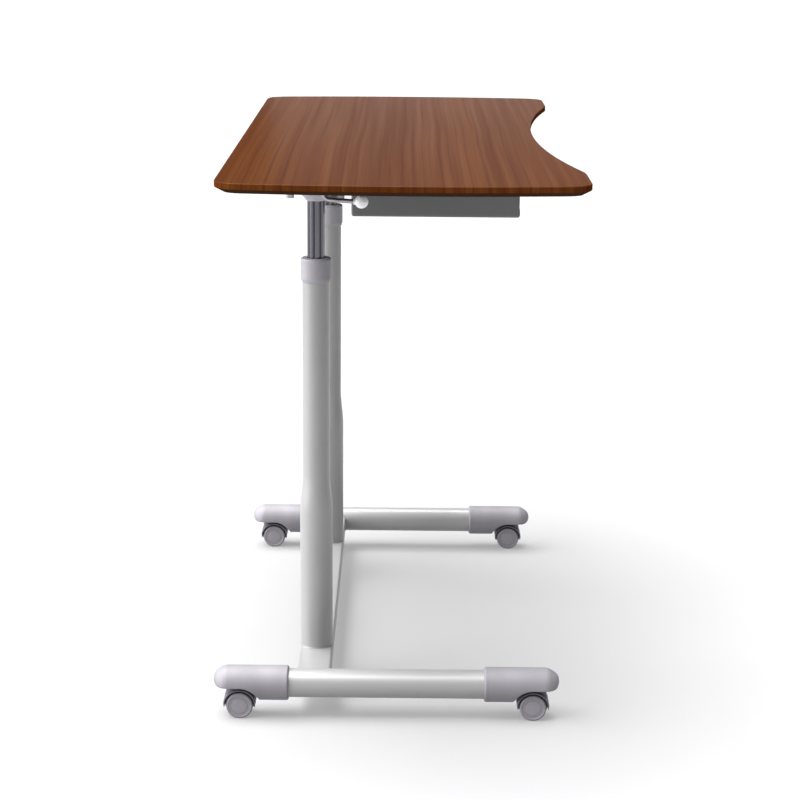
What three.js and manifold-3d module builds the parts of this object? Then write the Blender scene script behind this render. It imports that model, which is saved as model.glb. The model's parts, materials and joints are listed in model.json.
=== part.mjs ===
// Overbed table on two telescoping columns, with a curved user side and four twin-wheel casters.
// Millimetres, +Z up. X runs across the table, from its straight rear edge (-X) to the user (+X).
// Y runs along the table. The origin is on the floor, under the middle of the whole table.
// The lift stands at its rest height, where every joint value is zero.

import * as THREE from 'three';
import { mergeVertices } from 'three/addons/utils/BufferGeometryUtils.js';
import Module from 'manifold-3d';

const wasm = await Module();
wasm.setup();

// ---------------------------------------------------------------- driving dimensions

const HALF_DEPTH = 265;            // the table reaches this far either way along X
const FIT_GAP = 0.3;               // between pieces that touch
const FACETS = 20;                 // sides of a small or hidden round piece
const FINE_FACETS = 24;            // sides of a large round piece

const BOARD_LENGTH = 1180;
const BOARD_DEPTH = 508;
const BOARD_THICKNESS = 15;
const BOARD_HEIGHT = 822;          // upper face over the floor
const BOARD_BAND = 6;              // upright part of the edge, over the bevel
const BOARD_BEVEL = 12;            // how far the bevel runs in under the board
const BOARD_END_BOW = 18;          // the short ends bulge this much
const REAR_CORNER = 38;
const FRONT_CORNER = 32;
const CUT_HALF_LENGTH = 440;       // the user's hollow in the front edge
const CUT_DEPTH = 49;
const CUT_CORNER = 16;

const FOOT_LENGTH = 515;
const FOOT_SPACING = 820;
const FOOT_AXIS_HEIGHT = 51;
const FOOT_TUBE_RADIUS = 21.5;
const FOOT_TUBE_WALL = 2;
const CAP_LENGTH = 112;
const CAP_RADIUS = 26;
const CAP_NOSE_LENGTH = 22;
const CAP_SOCKET_DEPTH = 40;
const NOSE_UNDERSIDE = 50;         // height of the flat underside of a cap's nose

const STEM_FROM_TIP = 28;
const CASTER_TRAIL = 11;
const WHEEL_RADIUS = 20;
const WHEEL_INNER = 7;             // from the caster's middle to a wheel's inner face
const WHEEL_OUTER = 18;
const WHEEL_HUB_RADIUS = 4;
const WHEEL_HUB_INNER = 3;
const AXLE_RADIUS = 2;
const ARCH_RADIUS = 30;            // hollow in the cap over a wheel
const HOOD_INNER = 22.5;
const HOOD_OUTER = 24.7;
const HOOD_HALF_WIDTH = 18;
const HOOD_END_DROP = 2;           // the hood ends this far under the axle
const HOOD_FACETS = 28;
const WEB_HALF_THICKNESS = 2.5;
const WEB_DROP = 7;                // the web ends this far under the axle
const BOSS_RADIUS = 9.3;
const BOSS_NECK_RADIUS = 6.4;
const BOSS_TOP = 48.5;
const STEM_RADIUS = 4;
const STEM_BOTTOM = 26;
const STEM_TOP = 70;

const CROSSBAR_WIDTH = 50;
const CROSSBAR_BOTTOM = 30;
const CROSSBAR_TOP = 58;
const CROSSBAR_WALL = 2.5;

const COLUMN_X = -118;
const COLUMN_SPACING = 526;
const LOWER_RADIUS = 25;
const UPPER_RADIUS = 20.5;
const COLUMN_WALL = 1.8;
const FLARE_BOTTOM = 272;
const FLARE_TOP = 336;
const COLUMN_TOP = 640;
const SLEEVE_OUTER = 18.2;
const SLEEVE_INNER = 14.6;
const COLLAR_RADIUS = 23;
const COLLAR_BOTTOM = 632;
const COLLAR_TOP = 668;
const SCREW_HEIGHT = 658;
const SCREW_RADIUS = 2.8;
const SCREW_TURN = 0.6 * Math.PI;  // from +X round to the near collar's screw

const INNER_TUBE_RADIUS = 13;
const INNER_TUBE_BORE = 10.6;
const INNER_TUBE_BOTTOM = 260;
const INNER_TUBE_TOP = 762;
const FLUTE_COUNT = 8;
const FLUTE_DEPTH = 0.7;
const FLUTE_TURN = Math.PI / 15;

const CYLINDER_RADIUS = 9;
const CYLINDER_BORE = 7.6;
const CYLINDER_BOTTOM = 62;
const CYLINDER_TOP = 505;
const STUD_RADIUS = 4;
const ROD_RADIUS = 5;
const ROD_TOP = 777;
const PISTON_BOTTOM = 170;
const PIN_RADIUS = 2.2;

const FLANGE_BOTTOM = 754;
const FLANGE_TOP = 770;
const FLANGE_PLATE_LENGTH = 108;
const FLANGE_PLATE_WIDTH = 56;
const FLANGE_PLATE_THICKNESS = 4;
const ARM_REAR_X = -228;
const ARM_FRONT_X = 180;
const ARM_HALF_WIDTH = 28;
const ARM_LIP = 14;
const SHEET = 2.5;
const RAIL_X = -175;
const RAIL_WIDTH = 40;
const RAIL_HEIGHT = 22;
const RAIL_WALL = 1.5;

const TRAY_REAR_X = -67;
const TRAY_FRONT_X = 187;
const TRAY_HALF_LENGTH = 216;
const TRAY_BOTTOM = 722;
const TRAY_SHEET = 1.6;
const TRAY_LIP = 18;
const TRAY_STOP = 12;              // low lip along the tray's open front

const SHAFT_OFFSET = 13;           // the release shaft lies this far in front of the column axis
const SHAFT_HEIGHT = 784;
const SHAFT_RADIUS = 3.5;
const HANDLE_RADIUS = 3;
const HANDLE_Y = -309;
const HANDLE_DROP = 22;
const HANDLE_REACH = 45;
const HANDLE_SLOPE = 3;
const KNOB_RADIUS = 10;
const FINGER_NOSE = 4;
const FINGER_WIDTH = 10;
const BRACKET_THICKNESS = 3;
const BRACKET_BOTTOM = 761.5;
const STOP_SCREW_X = -96;
const STOP_SCREW_HEIGHT = 770;
const STOP_SCREW_RADIUS = 2.5;
const STOP_SCREW_HEAD = 5;

// ---------------------------------------------------------------- derived values

const footRearX = -HALF_DEPTH;
const footFrontX = footRearX + FOOT_LENGTH;
const boardFrontX = HALF_DEPTH;
const boardRearX = boardFrontX - BOARD_DEPTH;
const boardUnderside = BOARD_HEIGHT - BOARD_THICKNESS;
const underBoard = boardUnderside - FIT_GAP;
const shaftX = COLUMN_X + SHAFT_OFFSET;
const fingerUnderside = SHAFT_HEIGHT - FINGER_NOSE;
const pinTop = fingerUnderside - 0.4;
const armWebBottom = FLANGE_TOP + FIT_GAP;
const armWebTop = armWebBottom + SHEET;
const armInnerHalf = ARM_HALF_WIDTH - SHEET;

// ---------------------------------------------------------------- materials

const finish = {
  wood: { color: 0x7a482e, roughness: 0.45, metalness: 0 },
  silverPaint: { color: 0xc4c6c4, roughness: 0.42, metalness: 0.35 },
  greyPlastic: { color: 0xc2bfc6, roughness: 0.55, metalness: 0 },
  casterPlastic: { color: 0x56525c, roughness: 0.55, metalness: 0 },
  wheelPlastic: { color: 0x86828c, roughness: 0.6, metalness: 0 },
  anodised: { color: 0x5e5d66, roughness: 0.25, metalness: 0.9 },
  steel: { color: 0xa7a9ac, roughness: 0.35, metalness: 0.9 },
  darkSteel: { color: 0x5d5e5e, roughness: 0.5, metalness: 0.2 },
  nylon: { color: 0xd9d8d2, roughness: 0.6, metalness: 0 },
  knob: { color: 0xebebec, roughness: 0.4, metalness: 0 },
};

// ---------------------------------------------------------------- geometry helpers

// A piece's closed surface, with only its positions, as a solid that can be cut and joined.
function solid(geometry) {
  const bare = geometry.index ? geometry.toNonIndexed() : geometry.clone();
  bare.deleteAttribute('normal');
  bare.deleteAttribute('uv');
  const merged = mergeVertices(bare, 1e-4);
  return new wasm.Manifold(new wasm.Mesh({
    numProp: 3,
    vertProperties: new Float32Array(merged.attributes.position.array),
    triVerts: new Uint32Array(merged.index.array),
  }));
}

function geometryOf(manifold) {
  const mesh = manifold.getMesh();
  const geometry = new THREE.BufferGeometry();
  geometry.setAttribute('position', new THREE.BufferAttribute(new Float32Array(mesh.vertProperties), 3));
  geometry.setIndex(new THREE.BufferAttribute(new Uint32Array(mesh.triVerts), 1));
  return geometry;
}

function joined(parts) {
  return parts.slice(1).reduce((whole, part) => whole.add(part), parts[0]);
}

function cut(whole, tools) {
  return tools.reduce((left, tool) => left.subtract(tool), whole);
}

function block([lowX, lowY, lowZ], [highX, highY, highZ]) {
  const geometry = new THREE.BoxGeometry(highX - lowX, highY - lowY, highZ - lowZ);
  geometry.translate((lowX + highX) / 2, (lowY + highY) / 2, (lowZ + highZ) / 2);
  return solid(geometry);
}

// A profile of [radius, height] points, turned about the upright line through (x, y).
function turned(profile, x = 0, y = 0, segments = FACETS) {
  const points = profile.map(([radius, height]) => new THREE.Vector2(radius, height));
  const geometry = new THREE.LatheGeometry(points, segments);
  geometry.rotateX(Math.PI / 2);
  geometry.translate(x, y, 0);
  return solid(geometry);
}

// The same, with the profile turned about the line through (x, z) along Y.
function turnedAlongY(profile, x, y, z, segments = FACETS) {
  const points = profile.map(([radius, along]) => new THREE.Vector2(radius, along));
  const geometry = new THREE.LatheGeometry(points, segments);
  geometry.translate(x, y, z);
  return solid(geometry);
}

// The same, about the line through (y, z) along X.
function turnedAlongX(profile, y, z, segments = FACETS) {
  const points = profile.map(([radius, along]) => new THREE.Vector2(radius, along));
  const geometry = new THREE.LatheGeometry(points, segments);
  geometry.rotateZ(-Math.PI / 2);
  geometry.translate(0, y, z);
  return solid(geometry);
}

const rodProfile = (radius, low, high) => [[0, low], [radius, low], [radius, high], [0, high]];

const ringProfile = (inner, outer, low, high) => [
  [inner, low], [outer, low], [outer, high], [inner, high], [inner, low],
];

// An outline in the XZ plane, extruded along Y from lowY to highY.
function sidePlate(shape, lowY, highY, curveSegments = 12) {
  const geometry = new THREE.ExtrudeGeometry(shape, {
    depth: highY - lowY, bevelEnabled: false, curveSegments,
  });
  geometry.rotateX(Math.PI / 2);
  geometry.translate(0, highY, 0);
  return solid(geometry);
}

function hexNut(x, y, low, high, acrossFlats, bore) {
  const corner = acrossFlats / 2 / Math.cos(Math.PI / 6);
  return cut(turned(rodProfile(corner, low, high), x, y, 6), [
    turned(rodProfile(bore, low - 1, high + 1), x, y),
  ]);
}

// ---------------------------------------------------------------- the table

const table = new THREE.Group();

function place(name, manifold, look, parent = table) {
  const mesh = new THREE.Mesh(geometryOf(manifold), new THREE.MeshStandardMaterial(look));
  mesh.name = name;
  parent.add(mesh);
}

// The board's outline seen from above: straight rear edge, bowed ends, hollow front edge.
function boardOutline() {
  const half = BOARD_LENGTH / 2;
  const cornerY = half - BOARD_END_BOW;
  const endRise = 0.3 * BOARD_END_BOW;
  const bowControlY = 2 * half - cornerY - endRise;
  const middleX = (boardRearX + boardFrontX) / 2;
  const hollowRadius = (CUT_HALF_LENGTH ** 2 + CUT_DEPTH ** 2) / (2 * CUT_DEPTH);
  const hollowCentreX = boardFrontX - CUT_DEPTH + hollowRadius;
  const hollowStartY = CUT_HALF_LENGTH - CUT_CORNER;
  const hollowEdge = Math.sqrt(hollowRadius ** 2 - hollowStartY ** 2);
  const hollowStartX = hollowCentreX - hollowEdge;
  const startAngle = Math.PI - Math.asin(hollowStartY / hollowRadius);
  const endAngle = Math.PI + Math.asin(hollowStartY / hollowRadius);
  const shape = new THREE.Shape();
  shape.moveTo(boardRearX, cornerY - REAR_CORNER);
  shape.lineTo(boardRearX, -cornerY + REAR_CORNER);
  shape.quadraticCurveTo(boardRearX, -cornerY, boardRearX + REAR_CORNER, -cornerY - endRise);
  shape.quadraticCurveTo(middleX, -bowControlY, boardFrontX - FRONT_CORNER, -cornerY - endRise);
  shape.quadraticCurveTo(boardFrontX, -cornerY, boardFrontX, -cornerY + FRONT_CORNER);
  shape.lineTo(boardFrontX, -CUT_HALF_LENGTH - CUT_CORNER);
  shape.quadraticCurveTo(boardFrontX, -CUT_HALF_LENGTH, hollowStartX, -hollowStartY);
  shape.absarc(hollowCentreX, 0, hollowRadius, endAngle, startAngle, true);
  shape.quadraticCurveTo(boardFrontX, CUT_HALF_LENGTH, boardFrontX, CUT_HALF_LENGTH + CUT_CORNER);
  shape.lineTo(boardFrontX, cornerY - FRONT_CORNER);
  shape.quadraticCurveTo(boardFrontX, cornerY, boardFrontX - FRONT_CORNER, cornerY + endRise);
  shape.quadraticCurveTo(middleX, bowControlY, boardRearX + REAR_CORNER, cornerY + endRise);
  shape.quadraticCurveTo(boardRearX, cornerY, boardRearX, cornerY - REAR_CORNER);
  return shape;
}

// The board has an upright band round its edge and a bevel running in beneath it.
function tableTop() {
  const bevelHeight = BOARD_THICKNESS - BOARD_BAND;
  const geometry = new THREE.ExtrudeGeometry(boardOutline(), {
    depth: BOARD_BAND,
    bevelThickness: bevelHeight,
    bevelSize: BOARD_BEVEL,
    bevelOffset: -BOARD_BEVEL,
    bevelSegments: 1,
    curveSegments: 6,
  });
  geometry.translate(0, 0, BOARD_HEIGHT - BOARD_BAND);
  const aboveBoard = block([-400, -800, BOARD_HEIGHT], [400, 800, BOARD_HEIGHT + 50]);
  place('table_top', cut(solid(geometry), [aboveBoard]), finish.wood);
}

// One foot: a round tube, closed at each end by a moulded cap that carries a caster.
function foot(end, y) {
  const tubeEnd = CAP_LENGTH - CAP_SOCKET_DEPTH + FIT_GAP;
  const profile = ringProfile(
    FOOT_TUBE_RADIUS - FOOT_TUBE_WALL, FOOT_TUBE_RADIUS, footRearX + tubeEnd, footFrontX - tubeEnd,
  );
  place(`foot_tube_${end}`, turnedAlongX(profile, y, FOOT_AXIS_HEIGHT, FINE_FACETS), finish.silverPaint);
  const sides = { rear: { tipX: footRearX, inward: 1 }, front: { tipX: footFrontX, inward: -1 } };
  for (const [side, { tipX, inward }] of Object.entries(sides)) {
    footCap(`foot_cap_${end}_${side}`, tipX, inward, y);
    caster(`caster_${end}_${side}`, tipX + inward * STEM_FROM_TIP, y, inward);
  }
}

// A cap is a round bullet with its nose cut flat underneath, an arch over the caster's wheels,
// a socket for the foot tube and a hole for the caster's stem.
function footCap(name, tipX, inward, y) {
  const outline = [];
  const noseSteps = 5;
  for (let step = 0; step <= noseSteps; step += 1) {
    const angle = (step / noseSteps) * (Math.PI / 2);
    const along = CAP_NOSE_LENGTH * (1 - Math.cos(angle));
    outline.push([CAP_RADIUS * Math.sin(angle), along]);
  }
  const edge = 2;
  outline.push([CAP_RADIUS, CAP_LENGTH - edge], [CAP_RADIUS - edge / 2, CAP_LENGTH], [0, CAP_LENGTH]);
  const wheelX = STEM_FROM_TIP + CASTER_TRAIL;
  const tubeBore = rodProfile(FOOT_TUBE_RADIUS + FIT_GAP, CAP_LENGTH - CAP_SOCKET_DEPTH, CAP_LENGTH + 5);
  const local = cut(turnedAlongX(outline, 0, FOOT_AXIS_HEIGHT, FINE_FACETS), [
    block([-5, -40, 0], [wheelX, 40, NOSE_UNDERSIDE]),
    turnedAlongY(rodProfile(ARCH_RADIUS, -40, 40), wheelX, 0, WHEEL_RADIUS, 40),
    turnedAlongX(tubeBore, 0, FOOT_AXIS_HEIGHT, FINE_FACETS),
    turned(rodProfile(STEM_RADIUS + FIT_GAP, 0, STEM_TOP + 1), STEM_FROM_TIP, 0),
  ]);
  place(name, facing(local, inward, tipX, y), finish.greyPlastic);
}

// Pieces drawn towards +X are turned about the upright axis where they face the other way.
function facing(manifold, direction, x, y) {
  const geometry = geometryOf(manifold);
  if (direction < 0) {
    geometry.rotateZ(Math.PI);
  }
  geometry.translate(x, y, 0);
  return solid(geometry);
}

// A twin-wheel caster, drawn with its swivel axis at the origin and its wheels trailing towards +X.
function caster(name, x, y, direction) {
  const put = (piece, manifold, look) => place(`${name}_${piece}`, facing(manifold, direction, x, y), look);
  put('body', casterBody(), finish.casterPlastic);
  put('stem', turned(rodProfile(STEM_RADIUS, STEM_BOTTOM, STEM_TOP)), finish.steel);
  const axle = rodProfile(AXLE_RADIUS, -WHEEL_OUTER + 2, WHEEL_OUTER - 2);
  put('axle', turnedAlongY(axle, CASTER_TRAIL, 0, WHEEL_RADIUS, 16), finish.steel);
  put('wheel_left', casterWheel(direction), finish.wheelPlastic);
  put('wheel_right', casterWheel(-direction), finish.wheelPlastic);
}

// The hood covers the upper half of both wheels. A web between them holds the axle,
// and a boss in front of the axle holds the stem.
function casterBody() {
  const axleX = CASTER_TRAIL;
  const aroundAxle = (profile, facets) => turnedAlongY(profile, axleX, 0, WHEEL_RADIUS, facets);
  const below = (height) => block([-40, -40, -20], [60, 40, height]);
  const hoodBand = ringProfile(HOOD_INNER, HOOD_OUTER, -HOOD_HALF_WIDTH, HOOD_HALF_WIDTH);
  const hood = cut(aroundAxle(hoodBand, HOOD_FACETS), [below(WHEEL_RADIUS - HOOD_END_DROP)]);
  const webDisc = rodProfile(HOOD_INNER + 1, -WEB_HALF_THICKNESS, WEB_HALF_THICKNESS);
  const web = cut(aroundAxle(webDisc, HOOD_FACETS), [below(WHEEL_RADIUS - WEB_DROP)]);
  const neck = turned(rodProfile(BOSS_NECK_RADIUS, STEM_BOTTOM - 4, BOSS_TOP - 2));
  const insideHood = aroundAxle(rodProfile(HOOD_INNER + 1, -40, 40), HOOD_FACETS);
  const boss = cut(turned(rodProfile(BOSS_RADIUS, STEM_BOTTOM, BOSS_TOP)), [insideHood]);
  return cut(joined([hood, web, neck, boss]), [
    turned(rodProfile(STEM_RADIUS + FIT_GAP, STEM_BOTTOM - FIT_GAP, BOSS_TOP + 5)),
    aroundAxle(rodProfile(AXLE_RADIUS + FIT_GAP, -10, 10), 16),
  ]);
}

// A wheel is a cup with its closed face outwards and a hub on the axle.
function casterWheel(side) {
  const rimInner = WHEEL_RADIUS - 4;
  const faceInner = WHEEL_OUTER - 3;
  const profile = [
    [AXLE_RADIUS + FIT_GAP, WHEEL_HUB_INNER],
    [WHEEL_HUB_RADIUS, WHEEL_HUB_INNER],
    [WHEEL_HUB_RADIUS, faceInner],
    [rimInner, faceInner],
    [rimInner, WHEEL_INNER],
    [WHEEL_RADIUS - 1, WHEEL_INNER],
    [WHEEL_RADIUS, WHEEL_INNER + 1.5],
    [WHEEL_RADIUS, WHEEL_OUTER - 3],
    [WHEEL_RADIUS - 2.5, WHEEL_OUTER],
    [0, WHEEL_OUTER],
    [0, WHEEL_OUTER - 1.5],
    [AXLE_RADIUS + FIT_GAP, WHEEL_OUTER - 1.5],
    [AXLE_RADIUS + FIT_GAP, WHEEL_HUB_INNER],
  ];
  const wheel = geometryOf(turnedAlongY(profile, 0, 0, 0));
  if (side < 0) {
    wheel.rotateZ(Math.PI);
  }
  wheel.translate(CASTER_TRAIL, 0, WHEEL_RADIUS);
  return solid(wheel);
}

// The crossbar is a rectangular tube between the feet, coped to fit round them.
function crossbar() {
  const half = CROSSBAR_WIDTH / 2;
  const reach = FOOT_SPACING / 2 - 8;
  const outer = block([COLUMN_X - half, -reach, CROSSBAR_BOTTOM], [COLUMN_X + half, reach, CROSSBAR_TOP]);
  const inner = block(
    [COLUMN_X - half + CROSSBAR_WALL, -reach - 5, CROSSBAR_BOTTOM + CROSSBAR_WALL],
    [COLUMN_X + half - CROSSBAR_WALL, reach + 5, CROSSBAR_TOP - CROSSBAR_WALL],
  );
  const tools = [inner];
  for (const side of [-1, 1]) {
    const footTube = rodProfile(FOOT_TUBE_RADIUS + FIT_GAP, footRearX, footFrontX);
    tools.push(turnedAlongX(footTube, side * FOOT_SPACING / 2, FOOT_AXIS_HEIGHT, FINE_FACETS));
    const studHole = rodProfile(STUD_RADIUS + FIT_GAP + 0.2, 0, CROSSBAR_TOP + 5);
    tools.push(turned(studHole, COLUMN_X, side * COLUMN_SPACING / 2));
  }
  place('crossbar', cut(outer, tools), finish.silverPaint);
}

// The outer column tube: wide at the bottom, drawn in to the upper size over a smooth flare.
function outerColumnProfile() {
  const outside = [[LOWER_RADIUS, CROSSBAR_TOP + FIT_GAP]];
  const flareSteps = 4;
  for (let step = 0; step <= flareSteps; step += 1) {
    const share = step / flareSteps;
    const drawnIn = (LOWER_RADIUS - UPPER_RADIUS) * (1 - Math.cos(Math.PI * share)) / 2;
    outside.push([LOWER_RADIUS - drawnIn, FLARE_BOTTOM + share * (FLARE_TOP - FLARE_BOTTOM)]);
  }
  outside.push([UPPER_RADIUS, COLUMN_TOP]);
  const inside = outside.map(([radius, height]) => [radius - COLUMN_WALL, height]).reverse();
  return [...outside, ...inside, outside[0]];
}

const collarProfile = [
  [UPPER_RADIUS + FIT_GAP, COLLAR_BOTTOM],
  [COLLAR_RADIUS - 1.6, COLLAR_BOTTOM],
  [COLLAR_RADIUS, COLLAR_BOTTOM + 3],
  [COLLAR_RADIUS, COLLAR_TOP - 3],
  [COLLAR_RADIUS - 1, COLLAR_TOP - 0.8],
  [COLLAR_RADIUS - 3, COLLAR_TOP],
  [INNER_TUBE_RADIUS + 0.4, COLLAR_TOP],
  [INNER_TUBE_RADIUS + 0.4, COLUMN_TOP + FIT_GAP],
  [UPPER_RADIUS + FIT_GAP, COLUMN_TOP + FIT_GAP],
  [UPPER_RADIUS + FIT_GAP, COLLAR_BOTTOM],
];

// The inner column tube has shallow flutes along its whole length.
function flutedTube(x, y) {
  const shape = new THREE.Shape();
  const steps = FLUTE_COUNT * 4;
  for (let step = 0; step < steps; step += 1) {
    const angle = (step / steps) * 2 * Math.PI + FLUTE_TURN;
    const radius = INNER_TUBE_RADIUS - FLUTE_DEPTH * (step % 4 === 2 ? 1 : 0);
    const point = [radius * Math.cos(angle), radius * Math.sin(angle)];
    if (step === 0) {
      shape.moveTo(...point);
    } else {
      shape.lineTo(...point);
    }
  }
  const bore = new THREE.Path();
  bore.absarc(0, 0, INNER_TUBE_BORE, 0, 2 * Math.PI, true);
  shape.holes.push(bore);
  const geometry = new THREE.ExtrudeGeometry(shape, {
    depth: INNER_TUBE_TOP - INNER_TUBE_BOTTOM, bevelEnabled: false, curveSegments: 12,
  });
  geometry.translate(x, y, INNER_TUBE_BOTTOM);
  return solid(geometry);
}

// The bush hooks under the inner tube's lower end and runs in the guide sleeve.
const bushProfile = [
  [INNER_TUBE_BORE, INNER_TUBE_BOTTOM - 4],
  [SLEEVE_INNER - 0.4, INNER_TUBE_BOTTOM - 4],
  [SLEEVE_INNER - 0.4, INNER_TUBE_BOTTOM + 40],
  [INNER_TUBE_RADIUS + FIT_GAP, INNER_TUBE_BOTTOM + 40],
  [INNER_TUBE_RADIUS + FIT_GAP, INNER_TUBE_BOTTOM - FIT_GAP],
  [INNER_TUBE_BORE, INNER_TUBE_BOTTOM - FIT_GAP],
  [INNER_TUBE_BORE, INNER_TUBE_BOTTOM - 4],
];

// The gas spring's cylinder: a threaded stud below, a bore for the piston, a seal round the rod.
const cylinderProfile = [
  [0, CROSSBAR_BOTTOM - 9],
  [STUD_RADIUS, CROSSBAR_BOTTOM - 9],
  [STUD_RADIUS, CYLINDER_BOTTOM],
  [CYLINDER_RADIUS, CYLINDER_BOTTOM],
  [CYLINDER_RADIUS, CYLINDER_TOP],
  [ROD_RADIUS + FIT_GAP, CYLINDER_TOP],
  [ROD_RADIUS + FIT_GAP, CYLINDER_TOP - 14],
  [CYLINDER_BORE, CYLINDER_TOP - 14],
  [CYLINDER_BORE, CYLINDER_BOTTOM + 8],
  [0, CYLINDER_BOTTOM + 8],
];

// The piston rod, with the piston at its foot and a bore for the release pin at its top.
const rodWithPiston = [
  [0, PISTON_BOTTOM],
  [CYLINDER_BORE - 0.4, PISTON_BOTTOM],
  [CYLINDER_BORE - 0.4, PISTON_BOTTOM + 12],
  [ROD_RADIUS, PISTON_BOTTOM + 12],
  [ROD_RADIUS, ROD_TOP],
  [PIN_RADIUS + FIT_GAP, ROD_TOP],
  [PIN_RADIUS + FIT_GAP, ROD_TOP - 40],
  [0, ROD_TOP - 40],
];

const pinProfile = [
  [0, ROD_TOP - 34],
  [PIN_RADIUS, ROD_TOP - 34],
  [PIN_RADIUS, pinTop - 0.6],
  [PIN_RADIUS - 0.8, pinTop],
  [0, pinTop],
];

// The flange is a hollow cone under a plate. The inner tube ends in it, and the rod passes through.
function flange(x, y) {
  const tubeSocket = INNER_TUBE_RADIUS + FIT_GAP;
  const rodHole = ROD_RADIUS + FIT_GAP;
  const socketTop = INNER_TUBE_TOP + FIT_GAP;
  const cone = [[tubeSocket, FLANGE_BOTTOM], [tubeSocket + 1.8, FLANGE_BOTTOM]];
  const coneSteps = 4;
  const plateUnderside = FLANGE_TOP - FLANGE_PLATE_THICKNESS;
  for (let step = 1; step <= coneSteps; step += 1) {
    const share = step / coneSteps;
    const radius = tubeSocket + 1.8 + 9.4 * share ** 1.6;
    cone.push([radius, FLANGE_BOTTOM + share * (plateUnderside + 1 - FLANGE_BOTTOM)]);
  }
  cone.push([rodHole, plateUnderside + 1], [rodHole, socketTop], [tubeSocket, socketTop]);
  cone.push([tubeSocket, FLANGE_BOTTOM]);
  const plate = cut(roundedPlate(x, y), [turned(rodProfile(rodHole, FLANGE_BOTTOM, FLANGE_TOP + 5), x, y)]);
  return turned(cone, x, y).add(plate);
}

function roundedPlate(x, y) {
  const halfX = FLANGE_PLATE_LENGTH / 2;
  const halfY = FLANGE_PLATE_WIDTH / 2;
  const corner = 10;
  const shape = new THREE.Shape();
  shape.moveTo(-halfX + corner, -halfY);
  shape.lineTo(halfX - corner, -halfY);
  shape.quadraticCurveTo(halfX, -halfY, halfX, -halfY + corner);
  shape.lineTo(halfX, halfY - corner);
  shape.quadraticCurveTo(halfX, halfY, halfX - corner, halfY);
  shape.lineTo(-halfX + corner, halfY);
  shape.quadraticCurveTo(-halfX, halfY, -halfX, halfY - corner);
  shape.lineTo(-halfX, -halfY + corner);
  shape.quadraticCurveTo(-halfX, -halfY, -halfX + corner, -halfY);
  const geometry = new THREE.ExtrudeGeometry(shape, {
    depth: FLANGE_PLATE_THICKNESS, bevelEnabled: false, curveSegments: 4,
  });
  geometry.translate(x, y, FLANGE_TOP - FLANGE_PLATE_THICKNESS);
  return solid(geometry);
}

// A folded hat section under the board, open upwards, with its ends sloped.
// The release shaft passes through both walls.
function supportArm(y) {
  const wallTop = underBoard;
  const outer = block(
    [ARM_REAR_X, y - ARM_HALF_WIDTH, armWebBottom], [ARM_FRONT_X, y + ARM_HALF_WIDTH, wallTop],
  );
  const lipOuter = ARM_HALF_WIDTH + ARM_LIP;
  const lips = block([ARM_REAR_X, y - lipOuter, wallTop - SHEET], [ARM_FRONT_X, y + lipOuter, wallTop]);
  const inside = block(
    [ARM_REAR_X - 5, y - armInnerHalf, armWebTop], [ARM_FRONT_X + 5, y + armInnerHalf, wallTop + 5],
  );
  const slope = 70;
  const slopes = [[ARM_REAR_X, 1], [ARM_FRONT_X, -1]].map(([endX, inward]) => {
    const shape = new THREE.Shape();
    shape.moveTo(endX - inward * 5, armWebBottom - 5);
    shape.lineTo(endX + inward * slope, armWebBottom - 5);
    shape.lineTo(endX + inward * slope, armWebBottom);
    shape.lineTo(endX - inward * 5, wallTop - SHEET - 5);
    shape.closePath();
    return sidePlate(shape, y - 60, y + 60);
  });
  return cut(joined([outer, lips]), [
    inside,
    ...slopes,
    turned(rodProfile(ROD_RADIUS + FIT_GAP, armWebBottom - 5, armWebTop + 5), COLUMN_X, y),
    turnedAlongY(rodProfile(SHAFT_RADIUS + 0.4, -40, 40), shaftX, y, SHAFT_HEIGHT),
  ]);
}

function crossRail() {
  const halfLength = COLUMN_SPACING / 2 - ARM_HALF_WIDTH - FIT_GAP;
  const top = underBoard - SHEET - FIT_GAP;
  const low = [RAIL_X - RAIL_WIDTH / 2, -halfLength, top - RAIL_HEIGHT];
  const high = [RAIL_X + RAIL_WIDTH / 2, halfLength, top];
  const inside = block(
    [low[0] + RAIL_WALL, low[1] - 5, low[2] + RAIL_WALL],
    [high[0] - RAIL_WALL, high[1] + 5, high[2] - RAIL_WALL],
  );
  place('cross_rail', cut(block(low, high), [inside]), finish.darkSteel);
}

// A folded sheet tray, open towards the user, with a low stop along its front edge.
function storageTray() {
  const top = underBoard;
  const outer = block([TRAY_REAR_X, -TRAY_HALF_LENGTH, TRAY_BOTTOM], [TRAY_FRONT_X, TRAY_HALF_LENGTH, top]);
  const innerRear = TRAY_REAR_X + TRAY_SHEET;
  const innerHalf = TRAY_HALF_LENGTH - TRAY_SHEET;
  const innerBottom = TRAY_BOTTOM + TRAY_SHEET;
  const cavity = block(
    [innerRear, -innerHalf, innerBottom], [TRAY_FRONT_X - TRAY_SHEET, innerHalf, top - TRAY_SHEET],
  );
  const topHole = block(
    [innerRear + TRAY_LIP, -innerHalf + TRAY_LIP, top - 10],
    [TRAY_FRONT_X + 5, innerHalf - TRAY_LIP, top + 5],
  );
  const frontHole = block(
    [TRAY_FRONT_X - 10, -innerHalf, TRAY_BOTTOM + TRAY_STOP], [TRAY_FRONT_X + 5, innerHalf, top - TRAY_SHEET],
  );
  place('storage_tray', cut(outer, [cavity, topHole, frontHole]), finish.darkSteel);
}

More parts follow.
